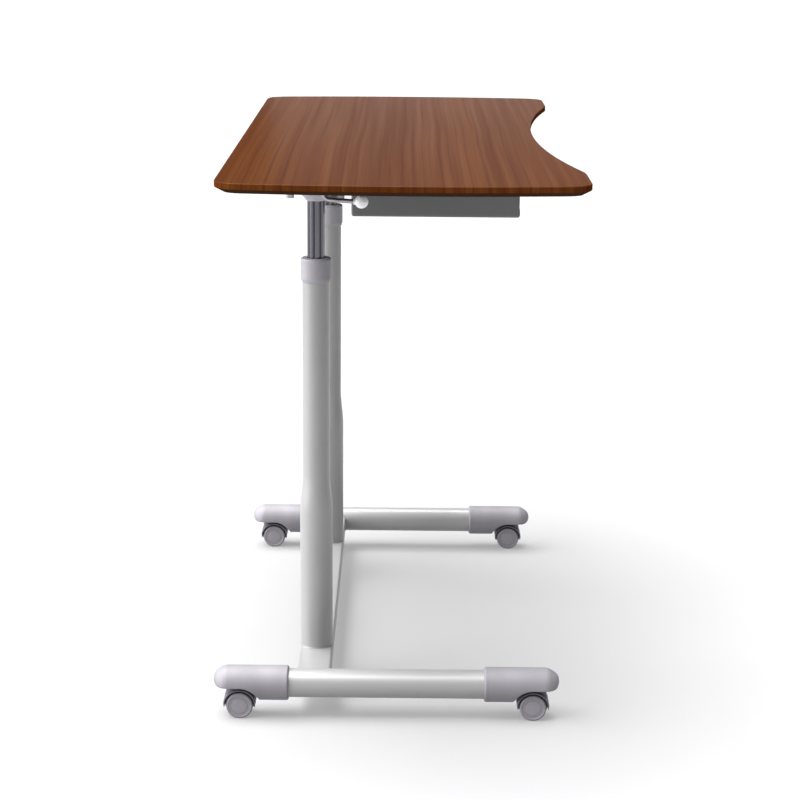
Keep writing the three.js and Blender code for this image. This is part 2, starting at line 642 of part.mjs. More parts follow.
// The handle leaves the shaft's near end, drops clear of the arm and turns towards the user.
function releaseHandle() {
  const bend = 9;
  const low = SHAFT_HEIGHT - HANDLE_DROP;
  const path = new THREE.CurvePath();
  const start = new THREE.Vector3(shaftX, HANDLE_Y + 25, SHAFT_HEIGHT);
  const shoulder = new THREE.Vector3(shaftX, HANDLE_Y, SHAFT_HEIGHT);
  const elbow = new THREE.Vector3(shaftX, HANDLE_Y, low);
  const tip = new THREE.Vector3(shaftX + HANDLE_REACH + 4, HANDLE_Y, low - HANDLE_SLOPE);
  const towards = (from, to) => from.clone().add(to.clone().sub(from).setLength(bend));
  path.add(new THREE.LineCurve3(start, towards(shoulder, start)));
  path.add(new THREE.QuadraticBezierCurve3(towards(shoulder, start), shoulder, towards(shoulder, elbow)));
  path.add(new THREE.LineCurve3(towards(shoulder, elbow), towards(elbow, shoulder)));
  path.add(new THREE.QuadraticBezierCurve3(towards(elbow, shoulder), elbow, towards(elbow, tip)));
  path.add(new THREE.LineCurve3(towards(elbow, tip), tip));
  const section = new THREE.Shape();
  section.absarc(0, 0, HANDLE_RADIUS, 0, 2 * Math.PI, false);
  const geometry = new THREE.ExtrudeGeometry(section, {
    steps: 26, bevelEnabled: false, curveSegments: 5, extrudePath: path,
  });
  return solid(geometry);
}

// A press finger reaches from the shaft to just over a release pin.
function pressFinger(y) {
  const noseX = COLUMN_X;
  const shape = new THREE.Shape();
  shape.moveTo(shaftX, SHAFT_HEIGHT + 6);
  shape.lineTo(noseX, SHAFT_HEIGHT + FINGER_NOSE);
  shape.absarc(noseX, SHAFT_HEIGHT, FINGER_NOSE, Math.PI / 2, 1.5 * Math.PI, false);
  shape.lineTo(noseX + FINGER_NOSE, SHAFT_HEIGHT - FINGER_NOSE + 1.5);
  shape.lineTo(shaftX - 4, SHAFT_HEIGHT - 2.5);
  shape.lineTo(shaftX, SHAFT_HEIGHT - 5);
  shape.absarc(shaftX, SHAFT_HEIGHT, 6, -Math.PI / 2, Math.PI / 2, false);
  return sidePlate(shape, y - FINGER_WIDTH / 2, y + FINGER_WIDTH / 2, 6);
}

function releaseMechanism() {
  const armReach = COLUMN_SPACING / 2 + ARM_HALF_WIDTH;
  const shaft = rodProfile(SHAFT_RADIUS, HANDLE_Y + 12, armReach + 6);
  const parts = [
    turnedAlongY(shaft, shaftX, 0, SHAFT_HEIGHT),
    releaseHandle(),
    pressFinger(-COLUMN_SPACING / 2),
    pressFinger(COLUMN_SPACING / 2),
  ];
  place('release_shaft', joined(parts), finish.steel);
  const knobX = shaftX + HANDLE_REACH + KNOB_RADIUS;
  const knobZ = SHAFT_HEIGHT - HANDLE_DROP - HANDLE_SLOPE;
  const ball = new THREE.SphereGeometry(KNOB_RADIUS, 16, 10);
  ball.rotateZ(Math.PI / 2);
  ball.translate(knobX, HANDLE_Y, knobZ);
  const rodHole = releaseHandleHole(knobX, knobZ);
  place('ball_knob', cut(solid(ball), [rodHole]), finish.knob);
}

// A plate on the near arm's outer wall that the shaft passes through. The screw in its lower tab
// stops the lever.
function leverBracket() {
  const outerFace = -COLUMN_SPACING / 2 - ARM_HALF_WIDTH - FIT_GAP;
  const innerFace = outerFace - BRACKET_THICKNESS;
  const shape = new THREE.Shape();
  shape.moveTo(shaftX - 12, underBoard - SHEET - FIT_GAP);
  shape.lineTo(shaftX - 12, FLANGE_TOP + 4);
  shape.lineTo(shaftX - 3, FLANGE_TOP);
  shape.lineTo(shaftX - 3, BRACKET_BOTTOM);
  shape.lineTo(shaftX + 19, BRACKET_BOTTOM);
  shape.lineTo(shaftX + 19, underBoard - SHEET - FIT_GAP);
  shape.closePath();
  const screwHole = rodProfile(STOP_SCREW_RADIUS + FIT_GAP, innerFace - 5, outerFace + 5);
  const bracket = cut(sidePlate(shape, innerFace, outerFace), [
    turnedAlongY(rodProfile(SHAFT_RADIUS + 0.4, innerFace - 5, outerFace + 5), shaftX, 0, SHAFT_HEIGHT),
    turnedAlongY(screwHole, STOP_SCREW_X, 0, STOP_SCREW_HEIGHT),
  ]);
  place('lever_bracket', bracket, finish.darkSteel);
  const screw = [
    [0, innerFace - 4],
    [STOP_SCREW_HEAD - 1, innerFace - 4],
    [STOP_SCREW_HEAD, innerFace - 3],
    [STOP_SCREW_HEAD, innerFace - FIT_GAP],
    [STOP_SCREW_RADIUS, innerFace - FIT_GAP],
    [STOP_SCREW_RADIUS, outerFace],
    [0, outerFace],
  ];
  place('stop_screw', turnedAlongY(screw, STOP_SCREW_X, 0, STOP_SCREW_HEIGHT, 16), finish.steel);
}

// The blind hole in the ball that the handle's end sits in.
function releaseHandleHole(knobX, knobZ) {
  const profile = rodProfile(HANDLE_RADIUS + 0.4, knobX - KNOB_RADIUS - 5, knobX - KNOB_RADIUS + 5);
  return turnedAlongX(profile, HANDLE_Y, knobZ, 16);
}

// One column with everything inside it, and the frame pieces straight above it.
function column(end, y) {
  const inward = y < 0 ? 1 : -1;
  const x = COLUMN_X;
  const sleeve = ringProfile(SLEEVE_INNER, SLEEVE_OUTER, CROSSBAR_TOP + 4, COLUMN_TOP - 1);
  place(`column_outer_${end}`, turned(outerColumnProfile(), x, y, FINE_FACETS), finish.silverPaint);
  place(`guide_sleeve_${end}`, turned(sleeve, x, y), finish.nylon);
  const screwHole = rodProfile(SCREW_RADIUS + FIT_GAP, COLLAR_RADIUS - 4, COLLAR_RADIUS + 5);
  const collar = cut(turned(collarProfile, x, y, FINE_FACETS), [collarScrew(screwHole, x, y, inward)]);
  place(`collar_${end}`, collar, finish.greyPlastic);
  const screw = rodProfile(SCREW_RADIUS, COLLAR_RADIUS - 3.7, COLLAR_RADIUS - 1);
  place(`collar_screw_${end}`, collarScrew(screw, x, y, inward), finish.steel);
  place(`gas_cylinder_${end}`, turned(cylinderProfile, x, y), finish.darkSteel);
  const nutTop = CROSSBAR_BOTTOM - FIT_GAP;
  place(`base_nut_${end}`, hexNut(x, y, nutTop - 7, nutTop, 14, STUD_RADIUS + FIT_GAP), finish.steel);
  place(`inner_tube_${end}`, flutedTube(x, y), finish.anodised);
  place(`glide_bush_${end}`, turned(bushProfile, x, y), finish.nylon);
  place(`piston_rod_${end}`, turned(rodWithPiston, x, y), finish.steel);
  const rodNutBottom = armWebTop + FIT_GAP;
  place(`rod_nut_${end}`, hexNut(x, y, rodNutBottom, ROD_TOP - 0.5, 15, ROD_RADIUS + FIT_GAP), finish.steel);
  place(`release_pin_${end}`, turned(pinProfile, x, y, 16), finish.steel);
  place(`flange_${end}`, flange(x, y), finish.greyPlastic);
  place(`support_arm_${end}`, supportArm(y), finish.darkSteel);
}

// A screw, or its hole, in the collar's side that faces the other column, turned a little to the rear.
function collarScrew(profile, x, y, inward) {
  const geometry = geometryOf(turnedAlongX(profile, 0, SCREW_HEIGHT, 16));
  geometry.rotateZ(inward * SCREW_TURN);
  geometry.translate(x, y, 0);
  return solid(geometry);
}

foot('near', -FOOT_SPACING / 2);
foot('far', FOOT_SPACING / 2);
crossbar();
column('near', -COLUMN_SPACING / 2);
column('far', COLUMN_SPACING / 2);
crossRail();
storageTray();
releaseMechanism();
leverBracket();
tableTop();

export default table;
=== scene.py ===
"""The looks of an overbed table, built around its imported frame.

Shapes are drawn in millimetres, in the frame's own axes, and become Blender objects in metres.
X runs from the straight rear edge to the user, Y along the table, and Z up from the floor.
The camera looks along +Y, so the "near" foot and column are at -Y and the "far" ones at +Y.
"""

import json
import math

import bmesh
import bpy
from mathutils import Matrix, Vector

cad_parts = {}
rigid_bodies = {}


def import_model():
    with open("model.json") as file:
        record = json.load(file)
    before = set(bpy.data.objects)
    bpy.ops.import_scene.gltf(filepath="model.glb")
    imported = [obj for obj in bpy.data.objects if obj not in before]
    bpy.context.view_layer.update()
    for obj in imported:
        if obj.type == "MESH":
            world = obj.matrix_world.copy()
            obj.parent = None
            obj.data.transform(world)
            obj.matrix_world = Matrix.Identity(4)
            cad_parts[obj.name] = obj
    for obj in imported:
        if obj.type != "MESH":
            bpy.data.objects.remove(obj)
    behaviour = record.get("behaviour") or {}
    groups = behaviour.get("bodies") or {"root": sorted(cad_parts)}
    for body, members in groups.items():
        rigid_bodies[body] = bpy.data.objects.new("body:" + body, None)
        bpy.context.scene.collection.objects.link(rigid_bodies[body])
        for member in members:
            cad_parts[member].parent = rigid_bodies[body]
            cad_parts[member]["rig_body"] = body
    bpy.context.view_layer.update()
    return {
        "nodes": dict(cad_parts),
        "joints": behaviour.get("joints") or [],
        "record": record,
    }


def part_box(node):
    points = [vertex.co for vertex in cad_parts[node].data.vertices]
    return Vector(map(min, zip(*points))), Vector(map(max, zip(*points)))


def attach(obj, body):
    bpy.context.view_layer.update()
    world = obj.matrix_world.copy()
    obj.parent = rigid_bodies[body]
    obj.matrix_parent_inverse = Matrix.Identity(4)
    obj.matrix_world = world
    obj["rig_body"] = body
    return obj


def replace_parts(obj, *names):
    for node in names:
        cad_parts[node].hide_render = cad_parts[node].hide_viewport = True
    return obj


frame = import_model()

# ---------------------------------------------------------------- sizes, in millimetres

MILLIMETRE = 0.001
ENDS = ("near", "far")
SIDES = ("rear", "front")

BOARD_BAND = 8.5                   # the upright part of the board's edge
BOARD_BEVEL = 12
BOARD_END_BOW = 18
REAR_CORNER = 38
FRONT_CORNER = 32
HOLLOW_HALF_LENGTH = 440
HOLLOW_DEPTH = 49
HOLLOW_CORNER = 16

FOOT_WALL = 2
CAP_NOSE_LENGTH = 22
CAP_NOSE_FILLET = 9
CAP_NOSE_RISE = 6
CAP_NOSE_LIFTED = 12               # how far back from its tip the nose is lifted
CAP_UNDERSIDE = 50
CAP_ARCH_RADIUS = 30
CAP_ARCH_FILLET = 3
CAP_SOCKET_DEPTH = 40
CAP_RIM = 3
FIT_GAP = 0.3                      # between pieces that touch

HOOD_INNER = 22.5
HOOD_OUTER = 24.7
HOOD_HALF_WIDTH = 18
HOOD_END_DROP = 2
WEB_HALF_THICKNESS = 2.5
WEB_DROP = 7
BOSS_RADIUS = 9.3
BOSS_TOP = 48.5
BOSS_BOTTOM = 19
BOSS_SPREAD_OUT = 2.4
BOSS_SPREAD_SIDE = 2.5
NECK_RADIUS = 6.4
WHEEL_RIM_INNER = 7                # from the caster's middle to the rim's inner face
HUB_COVER_RADIUS = 12
HUB_RADIUS = 4
AXLE_BORE = 2.3
TREAD_HEIGHT = 4

CROSSBAR_WALL = 2.5
CROSSBAR_EDGE = 3
COLUMN_WALL = 1.8
COLUMN_UPPER_RADIUS = 20.5
FLARE_BOTTOM = 272
FLARE_TOP = 336
FLARE_MARGIN = 20                  # straight tube drawn beyond the flare's two ends
FLUTE_COUNT = 8
FLUTE_DEPTH = 1.2
FLUTE_TURN = math.pi / 15
INNER_TUBE_BORE = 10.6
COLLAR_CLEARANCE = 0.4
COLLAR_RECESS = 3.1                # radius of the hole for the collar's screw
COLLAR_RECESS_MOUTH = 4.2
COLLAR_SCREW = 2.8
COLLAR_SCREW_KEY = 2.6

FLANGE_PLATE = 4
FLANGE_CORNER = 10
FLANGE_CONE_SPREAD = 13
ROD_HOLE = 5.3
BOLT_X = 37                        # from the flange's middle
BOLT_Y = 18
BOLT_RADIUS = 3
BOLT_ACROSS = 10
BOLT_HEAD = 5.4
BOLT_NUT = 5
BOLT_END = 8                       # over the nut's lower face
WASHER_RADIUS = 6.4
WASHER_THICKNESS = 1.1
ARM_SHEET = 2.5
ARM_BEND = 2
ARM_HALF_WIDTH = 28
ARM_SLOPE = 70
RAIL_WALL = 1.5
TRAY_SHEET = 1.6
TRAY_LIP = 18
TRAY_STOP = 12
TRAY_BEND = 2.4
SCREW_HEAD = 4
SCREW_CROSS = 2.2                  # half the length of the slots in a wood screw's head
SCREW_SLOT = 0.45                  # half their width

SHAFT_RADIUS = 3.5
SHAFT_HOLE = 5.2
HANDLE_RADIUS = 3.4
HANDLE_BEND = 9
HANDLE_SLOPE = 3
FINGER_NOSE = 4
FINGER_WIDTH = 10
BUSH_BORE = 3.7
BUSH_RADIUS = 5.1
BUSH_RIM = 6.6
BUSH_RIM_THICKNESS = 1.1
BUSH_LENGTH = 4
KNOB_NECK = 4.4
KNOB_NECK_LENGTH = 1.6
BRACKET_TAB = 3                    # the tab's left side, from the shaft's axis
BRACKET_SHOULDER = 10              # the step's top on its left, below the axis
BRACKET_STEP = 14                  # and on its right
STOP_SCREW_RADIUS = 2.5
STOP_SCREW_KEY = 3

TO_X = Matrix.Rotation(math.pi / 2, 4, "Y")          # turns +Z to +X
TO_Y = Matrix.Rotation(-math.pi / 2, 4, "X")         # turns +Z to +Y
UPRIGHT = Matrix.Rotation(math.pi / 2, 4, "X")       # stands a plan up in the XZ plane, facing -Y


def new_object(name, data):
    """A mesh, lamp or camera as an object in the scene."""
    made = bpy.data.objects.new(name, data)
    bpy.context.scene.collection.objects.link(made)
    return made


# ---------------------------------------------------------------- drawing

class Span:
    """A frame node's box in millimetres: its corners, its middle and its size."""

    def __init__(self, node):
        low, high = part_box(node)
        self.low = low / MILLIMETRE
        self.high = high / MILLIMETRE
        self.middle = (self.low + self.high) / 2
        self.size = self.high - self.low

    def upright(self):
        """The place in plan of what is drawn upright about the origin."""
        return at(self.middle.x, self.middle.y, 0)


class Surface:
    """The points and faces of a piece while it is being drawn."""

    def __init__(self, points, faces):
        self.points = points
        self.faces = faces

    def __add__(self, other):
        start = len(self.points)
        faces = [tuple(start + index for index in face) for face in other.faces]
        return Surface(self.points + other.points, self.faces + faces)

    def moved(self, matrix):
        return Surface([matrix @ point for point in self.points], self.faces)

    def repeated(self, matrices):
        """Copies of the surface in several places, as one surface."""
        copies = Surface([], [])
        for matrix in matrices:
            copies = copies + self.moved(matrix)
        return copies


def at(x, y, z):
    return Matrix.Translation((x, y, z))


def shares(steps):
    """Evenly spaced numbers from 0 to 1, both included."""
    return [step / steps for step in range(steps + 1)]


def spaced(start, end, steps):
    """Evenly spaced numbers from start, left out, to end."""
    return [start + share * (end - start) for share in shares(steps)[1:]]


def round_angles(sides):
    """Evenly spaced angles, once round."""
    return [2 * math.pi * side / sides for side in range(sides)]


def quarter_angles(steps):
    """Evenly spaced angles from 0 to a quarter turn, both included."""
    return [share * math.pi / 2 for share in shares(steps)]


def polar(radius, angle, height):
    return Vector((radius * math.cos(angle), radius * math.sin(angle), height))


def smooth_step(share):
    share = min(max(share, 0), 1)
    return share * share * (3 - 2 * share)


def smooth_max(a, b, blend):
    """The larger of two heights, rounded over where they are closer than blend."""
    near = max(blend - abs(a - b), 0)
    return max(a, b) + near * near / (4 * blend)


def arc(centre, radius, start, end, steps):
    points = []
    for share in shares(steps):
        angle = start + share * (end - start)
        points.append(Vector(centre) + radius * Vector((math.cos(angle), math.sin(angle))))
    return points


def quadratic(start, control, end, steps):
    """Points of a quadratic curve, without its last one."""
    start, control, end = Vector(start), Vector(control), Vector(end)
    points = []
    for share in shares(steps)[:-1]:
        first = start.lerp(control, share)
        second = control.lerp(end, share)
        points.append(first.lerp(second, share))
    return points


def rounded(corners, closed=False, steps=5):
    """The path through corners of (point, radius), each turned into an arc of that radius."""
    path = []
    last = len(corners) - 1
    for index, (point, radius) in enumerate(corners):
        here = Vector(point)
        if radius == 0 or (not closed and index in (0, last)):
            path.append(here)
            continue
        before = (Vector(corners[index - 1][0]) - here).normalized()
        after = (Vector(corners[(index + 1) % len(corners)][0]) - here).normalized()
        half = before.angle(after) / 2
        reach = radius / math.tan(half)
        centre = here + (before + after).normalized() * (radius / math.sin(half))
        start = here + before * reach - centre
        end = here + after * reach - centre
        for share in shares(steps):
            path.append(centre + start.slerp(end, share).normalized() * radius)
    return path


def rounded_rectangle(low, high, radius, steps=5):
    corners = [(low[0], low[1]), (high[0], low[1]), (high[0], high[1]), (low[0], high[1])]
    return rounded([(corner, radius) for corner in corners], closed=True, steps=steps)


def inset(outline, distance):
    """A closed anticlockwise outline, moved inwards by distance."""
    moved = []
    for index, here in enumerate(outline):
        arriving = (here - outline[index - 1]).normalized()
        leaving = (outline[(index + 1) % len(outline)] - here).normalized()
        first = Vector((-arriving.y, arriving.x))
        second = Vector((-leaving.y, leaving.x))
        mitre = (first + second) / (1 + first.dot(second))
        moved.append(here + mitre * distance)
    return moved


def lifted(outline, height):
    return [Vector((point.x, point.y, height)) for point in outline]


def divided(outline, longest):
    """A closed outline with points added along its sides, so that none is longer than longest."""
    points = []
    for index, start in enumerate(outline):
        end = outline[(index + 1) % len(outline)]
        steps = max(math.ceil((end - start).length / longest), 1)
        points.extend(start.lerp(end, step / steps) for step in range(steps))
    return points


def hexagon(across):
    """A hexagon measured across its flats, with points along its sides."""
    corner = across / math.sqrt(3)
    corners = []
    for index in range(6):
        angle = index * math.pi / 3
        corners.append(Vector((corner * math.cos(angle), corner * math.sin(angle))))
    return divided(corners, corner / 5.9)


def loft(rings, joined=False):
    """Quads between rings of equally many points. The ends are capped, or joined to each other."""
    count = len(rings[0])
    points = [point for ring in rings for point in ring]
    faces = []
    for row in range(len(rings) if joined else len(rings) - 1):
        here = row * count
        there = (row + 1) % len(rings) * count
        for column in range(count):
            after = (column + 1) % count
            faces.append((here + column, here + after, there + after, there + column))
    if not joined:
        faces.append(tuple(range(count - 1, -1, -1)))
        faces.append(tuple(range(len(points) - count, len(points))))
    return Surface(points, faces)


def turned(profile, sides=96, joined=False, wave=None):
    """A profile of (radius, height) points turned about Z. wave(radius, angle) may alter a radius."""
    rings = []
    for radius, height in profile:
        ring = []
        for angle in round_angles(sides):
            reach = wave(radius, angle) if wave else radius
            ring.append(polar(reach, angle, height))
        rings.append(ring)
    return loft(rings, joined)


def cylinder(radius, low, high, sides=40):
    return turned([(radius, low), (radius, high)], sides)


def prism(outline, low, high, edge):
    """A closed anticlockwise outline raised from low to high, with its edges rounded."""
    rings = []
    for angle in quarter_angles(4):
        depth = edge * (1 - math.sin(angle))
        rings.append(lifted(inset(outline, depth), low + edge * (1 - math.cos(angle))))
    for angle in quarter_angles(4):
        depth = edge * (1 - math.cos(angle))
        rings.append(lifted(inset(outline, depth), high - edge * (1 - math.sin(angle))))
    return loft(rings)


def rounded_box(low, high, radius):
    outline = rounded_rectangle(low, high, radius * 1.02)
    return prism(outline, low[2], high[2], radius)


def swept(path, radii, sides=32, joined=False):
    """A round rod along a path, with one radius for each of its points."""
    normal = (path[1] - path[0]).orthogonal().normalized()
    last = len(path) - 1
    rings = []
    for index, point in enumerate(path):
        ahead = path[(index + 1) % len(path) if joined else min(index + 1, last)]
        behind = path[index - 1 if joined else max(index - 1, 0)]
        tangent = (ahead - behind).normalized()
        normal = (normal - tangent * normal.dot(tangent)).normalized()
        side = tangent.cross(normal)
        ring = []
        for angle in round_angles(sides):
            ring.append(point + radii[index] * (normal * math.cos(angle) + side * math.sin(angle)))
        rings.append(ring)
    return loft(rings, joined)


def folded_sheet(path, thickness, start, end):
    """A sheet folded along a path of (y, z) points. start(z) and end(z) are its reach along X."""
    rings = []
    for index, point in enumerate(path):
        ahead = path[min(index + 1, len(path) - 1)]
        behind = path[max(index - 1, 0)]
        along = (ahead - behind).normalized()
        across = Vector((-along.y, along.x)) * thickness / 2
        ring = []
        for reach, side in ((start, 1), (end, 1), (end, -1), (start, -1)):
            y, z = point + side * across
            ring.append(Vector((reach(z), y, z)))
        rings.append(ring)
    return loft(rings)


def hex_nut(across, low, high, bore=0):
    """A hex nut with chamfered corners, or a bolt head where it has no bore."""
    outline = hexagon(across)
    face = across * 0.475
    circle = [point.normalized() * face for point in outline]
    lower = []
    upper = []
    for point in outline:
        chamfer = (point.length - face) * 0.5
        lower.append(Vector((point.x, point.y, low + chamfer)))
        upper.append(Vector((point.x, point.y, high - chamfer)))
    rings = [lifted(circle, low), lower, upper, lifted(circle, high)]
    if bore:
        hole = [point.normalized() * bore for point in outline]
        rings = [lifted(hole, low), *rings, lifted(hole, high)]
    return loft(rings, joined=bore > 0)


def hex_socket(across, low, high):
    """What is cut out of a screw's head for a hex key."""
    return loft([lifted(hexagon(across), height) for height in (low, high)])


def mesh_of(name, surface, scale=1):
    """A clean mesh from a surface, with its faces pointing outwards."""
    mesh = bpy.data.meshes.new(name)
    mesh.from_pydata([point * scale for point in surface.points], [], surface.faces)
    edit = bmesh.new()
    edit.from_mesh(mesh)
    bmesh.ops.remove_doubles(edit, verts=edit.verts, dist=0.002 * scale)
    bmesh.ops.recalc_face_normals(edit, faces=edit.faces)
    if edit.calc_volume(signed=True) < 0:
        bmesh.ops.reverse_faces(edit, faces=edit.faces)
    edit.to_mesh(mesh)
    edit.free()
    return mesh


def carved(base, tools, operation="DIFFERENCE"):
    """A surface after tools have been cut from it, or joined to it with UNION."""
    bodies = [new_object("carving", mesh_of("carving", surface)) for surface in [base, *tools]]
    for tool in bodies[1:]:
        modifier = bodies[0].modifiers.new("carve", "BOOLEAN")
        modifier.object = tool
        modifier.operation = operation
        modifier.solver = "EXACT"
    result = bodies[0].evaluated_get(bpy.context.evaluated_depsgraph_get()).to_mesh()
    points = [vertex.co.copy() for vertex in result.vertices]
    faces = [tuple(face.vertices) for face in result.polygons]
    for body in bodies:
        bpy.data.objects.remove(body)
    return Surface(points, faces)


# ---------------------------------------------------------------- materials

def add_node(tree, kind, inputs, output=0, **settings):
    """One output of a new shader node. An input is a number, a colour or another node's output."""
    made = tree.nodes.new("ShaderNode" + kind)
    for name, value in settings.items():
        setattr(made, name, value)
    for name, value in inputs.items():
        if isinstance(value, bpy.types.NodeSocket):
            tree.links.new(value, made.inputs[name])
        else:
            made.inputs[name].default_value = value
    return made.outputs[output]


class Look:
    """A material being made, with short calls for the nodes that the materials here share.

    Colours are given as 0 to 255 in sRGB.
    """

    def __init__(self, name, fixed, brightness=1):
        self.material = bpy.data.materials.new(name)
        self.material.use_nodes = True
        self.tree = self.material.node_tree
        self.shader = self.tree.nodes["Principled BSDF"]
        self.brightness = brightness
        for socket, value in fixed.items():
            self.shader.inputs[socket].default_value = value
        self.place = self.node("TexCoord", {}, output="Object")

    def node(self, kind, inputs, output=0, **settings):
        return add_node(self.tree, kind, inputs, output, **settings)

    def linear(self, shade):
        """A shade as the linear colour that shaders take, at the look's own brightness."""
        channels = []
        for value in shade:
            share = value / 255
            channel = share / 12.92 if share <= 0.04045 else ((share + 0.055) / 1.055) ** 2.4
            channels.append(channel * self.brightness)
        return (*channels, 1)

    def stretched(self, x, y, z):
        return self.node("VectorMath", {0: self.place, 1: (x, y, z)}, operation="MULTIPLY")

    def noise(self, scale, detail=2, place=None, roughness=0.5):
        inputs = {"Vector": place or self.place, "Scale": scale, "Detail": detail}
        inputs["Roughness"] = roughness
        return self.node("TexNoise", inputs)

    def ramp(self, factor, stops):
        made = self.tree.nodes.new("ShaderNodeValToRGB")
        elements = made.color_ramp.elements
        while len(elements) < len(stops):
            elements.new(0.5)
        for element, (position, shade) in zip(elements, stops):
            element.position = position
            element.color = self.linear(shade)
        self.tree.links.new(factor, made.inputs[0])
        return made.outputs[0]

    def mix(self, colour, shade, factor):
        """The colour, turned to another shade by a factor."""
        inputs = {0: factor, 6: colour, 7: self.linear(shade)}
        return self.node("Mix", inputs, output=2, data_type="RGBA")

    def patched(self, colour, shade, texture, low, high, strength):
        """The colour, turning to another shade as a texture goes from low to high."""
        return self.mix(colour, shade, self.range(texture, low, high, 0.0, strength))

    def range(self, value, low, high, to_low, to_high):
        inputs = {0: value, 1: low, 2: high, 3: to_low, 4: to_high}
        return self.node("MapRange", inputs)

    def plus(self, first, second):
        return self.node("Math", {0: first, 1: second}, operation="ADD")

    def times(self, first, second):
        return self.node("Math", {0: first, 1: second}, operation="MULTIPLY")

    def sine(self, angle):
        return self.node("Math", {0: angle}, operation="SINE")

    def distance(self, x, y, z):
        """The distance from the texture's origin, with each axis stretched or left out."""
        flat = self.stretched(x, y, z)
        return self.node("VectorMath", {0: flat}, output="Value", operation="LENGTH")

    def finished(self, colour, roughness, *reliefs):
        """The material. Each relief is (height, strength, distance), and they add up."""
        self.tree.links.new(colour, self.shader.inputs["Base Color"])
        self.tree.links.new(roughness, self.shader.inputs["Roughness"])
        below = {}
        for height, strength, distance in reliefs:
            inputs = {"Height": height, "Strength": strength, "Distance": distance, **below}
            below = {"Normal": self.node("Bump", inputs)}
        self.tree.links.new(below["Normal"], self.shader.inputs["Normal"])
        return self.material


def wood_foil(name, gloss, brightness=1):
    """Cherry-brown wood grain running along the table, with dark growth lines and fine pores."""
    look = Look(name, {"Specular IOR Level": gloss}, brightness)
    drift = look.noise(1.8, 1, look.stretched(1, 1, 0))
    aside = {0: drift, 1: (0.010, 0, 0), 2: (0, 0.0071, 0.0137)}
    sideways = look.node("VectorMath", aside, operation="MULTIPLY_ADD")
    wavy = look.node("VectorMath", {0: look.stretched(1, 0.009, 0), 1: sideways}, operation="ADD")
    boards = look.noise(14, 2, wavy)
    streaks = look.noise(85, 4, wavy, 0.55)
    fine = look.noise(280, 1, wavy)
    pores = look.noise(950, 2, look.stretched(1, 0.03, 0.03))
    ground = look.plus(look.times(boards, 0.4), look.times(streaks, 0.6))
    colour = look.ramp(ground, [(0.40, (58, 28, 9)), (0.50, (64, 33, 11)), (0.60, (70, 38, 14))])
    colour = look.patched(colour, (54, 25, 9), fine, 0.42, 0.70, 0.28)
    growth_lines = ((0.0157, 20, 0.80, 0.65), (0.0059, 50, 0.3, 0.22))
    for spacing, bend, start, strength in growth_lines:
        turns = {0: wavy, 1: (2 * math.pi / spacing, 0, 0)}
        across = look.node("VectorMath", turns, output="Value", operation="DOT_PRODUCT")
        growth = look.sine(look.plus(across, look.times(boards, bend)))
        colour = look.patched(colour, (50, 20, 6), growth, start, 1.0, strength)
    colour = look.patched(colour, (48, 22, 9), pores, 0.55, 0.75, 0.10)
    return look.finished(colour, look.range(streaks, 0.3, 0.7, 0.34, 0.29), (pores, 0.05, 0.0002))


def backing_and_bevel_shade():
    """A plain dark brown sheet with a faint mottle, under the board and on its bevel. Under the board it
    is the backing sheet; on the bevel its dark brown is painted shade, standing in for the shaded foil
    there.
    """
    look = Look("backing_and_bevel_shade", {"Specular IOR Level": 0})
    fleck = look.noise(420, 3)
    cloud = look.noise(6, 3)
    colour = look.ramp(fleck, [(0.35, (48, 30, 20)), (0.65, (59, 40, 28))])
    colour = look.patched(colour, (40, 25, 17), cloud, 0.3, 0.7, 0.3)
    return look.finished(colour, look.range(fleck, 0.3, 0.7, 0.55, 0.7), (fleck, 0.15, 0.0003))


def silver_paint():
    """Silver powder coat: fine metal flakes under a slight orange peel."""
    look = Look("silver_paint", {"Metallic": 0.25})
    flakes = look.noise(5200, 1)
    cloud = look.noise(7, 3)
    colour = look.ramp(flakes, [(0.34, (136, 136, 136)), (0.66, (160, 160, 160))])
    colour = look.patched(colour, (132, 132, 132), cloud, 0.35, 0.65, 0.18)
    peel = (look.noise(900, 2), 0.08, 0.0002)
    roughness = look.range(cloud, 0.3, 0.7, 0.34, 0.42)
    return look.finished(colour, roughness, peel, (flakes, 0.06, 0.0001))


def moulded(name, dark, light, roughness, texture_scale=1900, texture=0.16):
    """Moulded plastic: a fine eroded texture, slight flow marks and a little dust."""
    look = Look(name, {})
    grain = look.noise(texture_scale, 2)
    flow = look.noise(26, 4, look.stretched(1, 1, 0.35))
    colour = look.ramp(flow, [(0.32, dark), (0.68, light)])
    colour = look.patched(colour, dark, grain, 0.3, 0.7, 0.12)
    roughness = look.range(flow, 0.3, 0.7, roughness + 0.05, roughness - 0.04)
    return look.finished(colour, roughness, (grain, texture, 0.0002))


def wheel_plastic():
    """Grey wheels, with a dusty, scuffed tread. The wheel's own centre is the texture's origin."""
    look = Look("wheel_plastic", {})
    radius = look.distance(1, 0, 1)
    grain = look.noise(1600, 2)
    scuffs = look.noise(160, 4, look.stretched(1, 3, 1))
    colour = look.ramp(grain, [(0.3, (116, 113, 119)), (0.7, (128, 125, 131))])
    hub = look.range(radius, 0.0114, 0.0120, 1.0, 0.0)
    colour = look.mix(colour, (140, 137, 144), look.times(hub, 0.3))
    tread = look.range(radius, 0.0186, 0.0198, 0.0, 1.0)
    dust = look.times(tread, look.range(scuffs, 0.35, 0.65, 0.1, 0.7))
    colour = look.mix(colour, (92, 89, 92), dust)
    roughness = look.range(dust, 0, 1, 0.45, 0.72)
    return look.finished(colour, roughness, (grain, 0.14, 0.0002), (scuffs, 0.05, 0.0004))


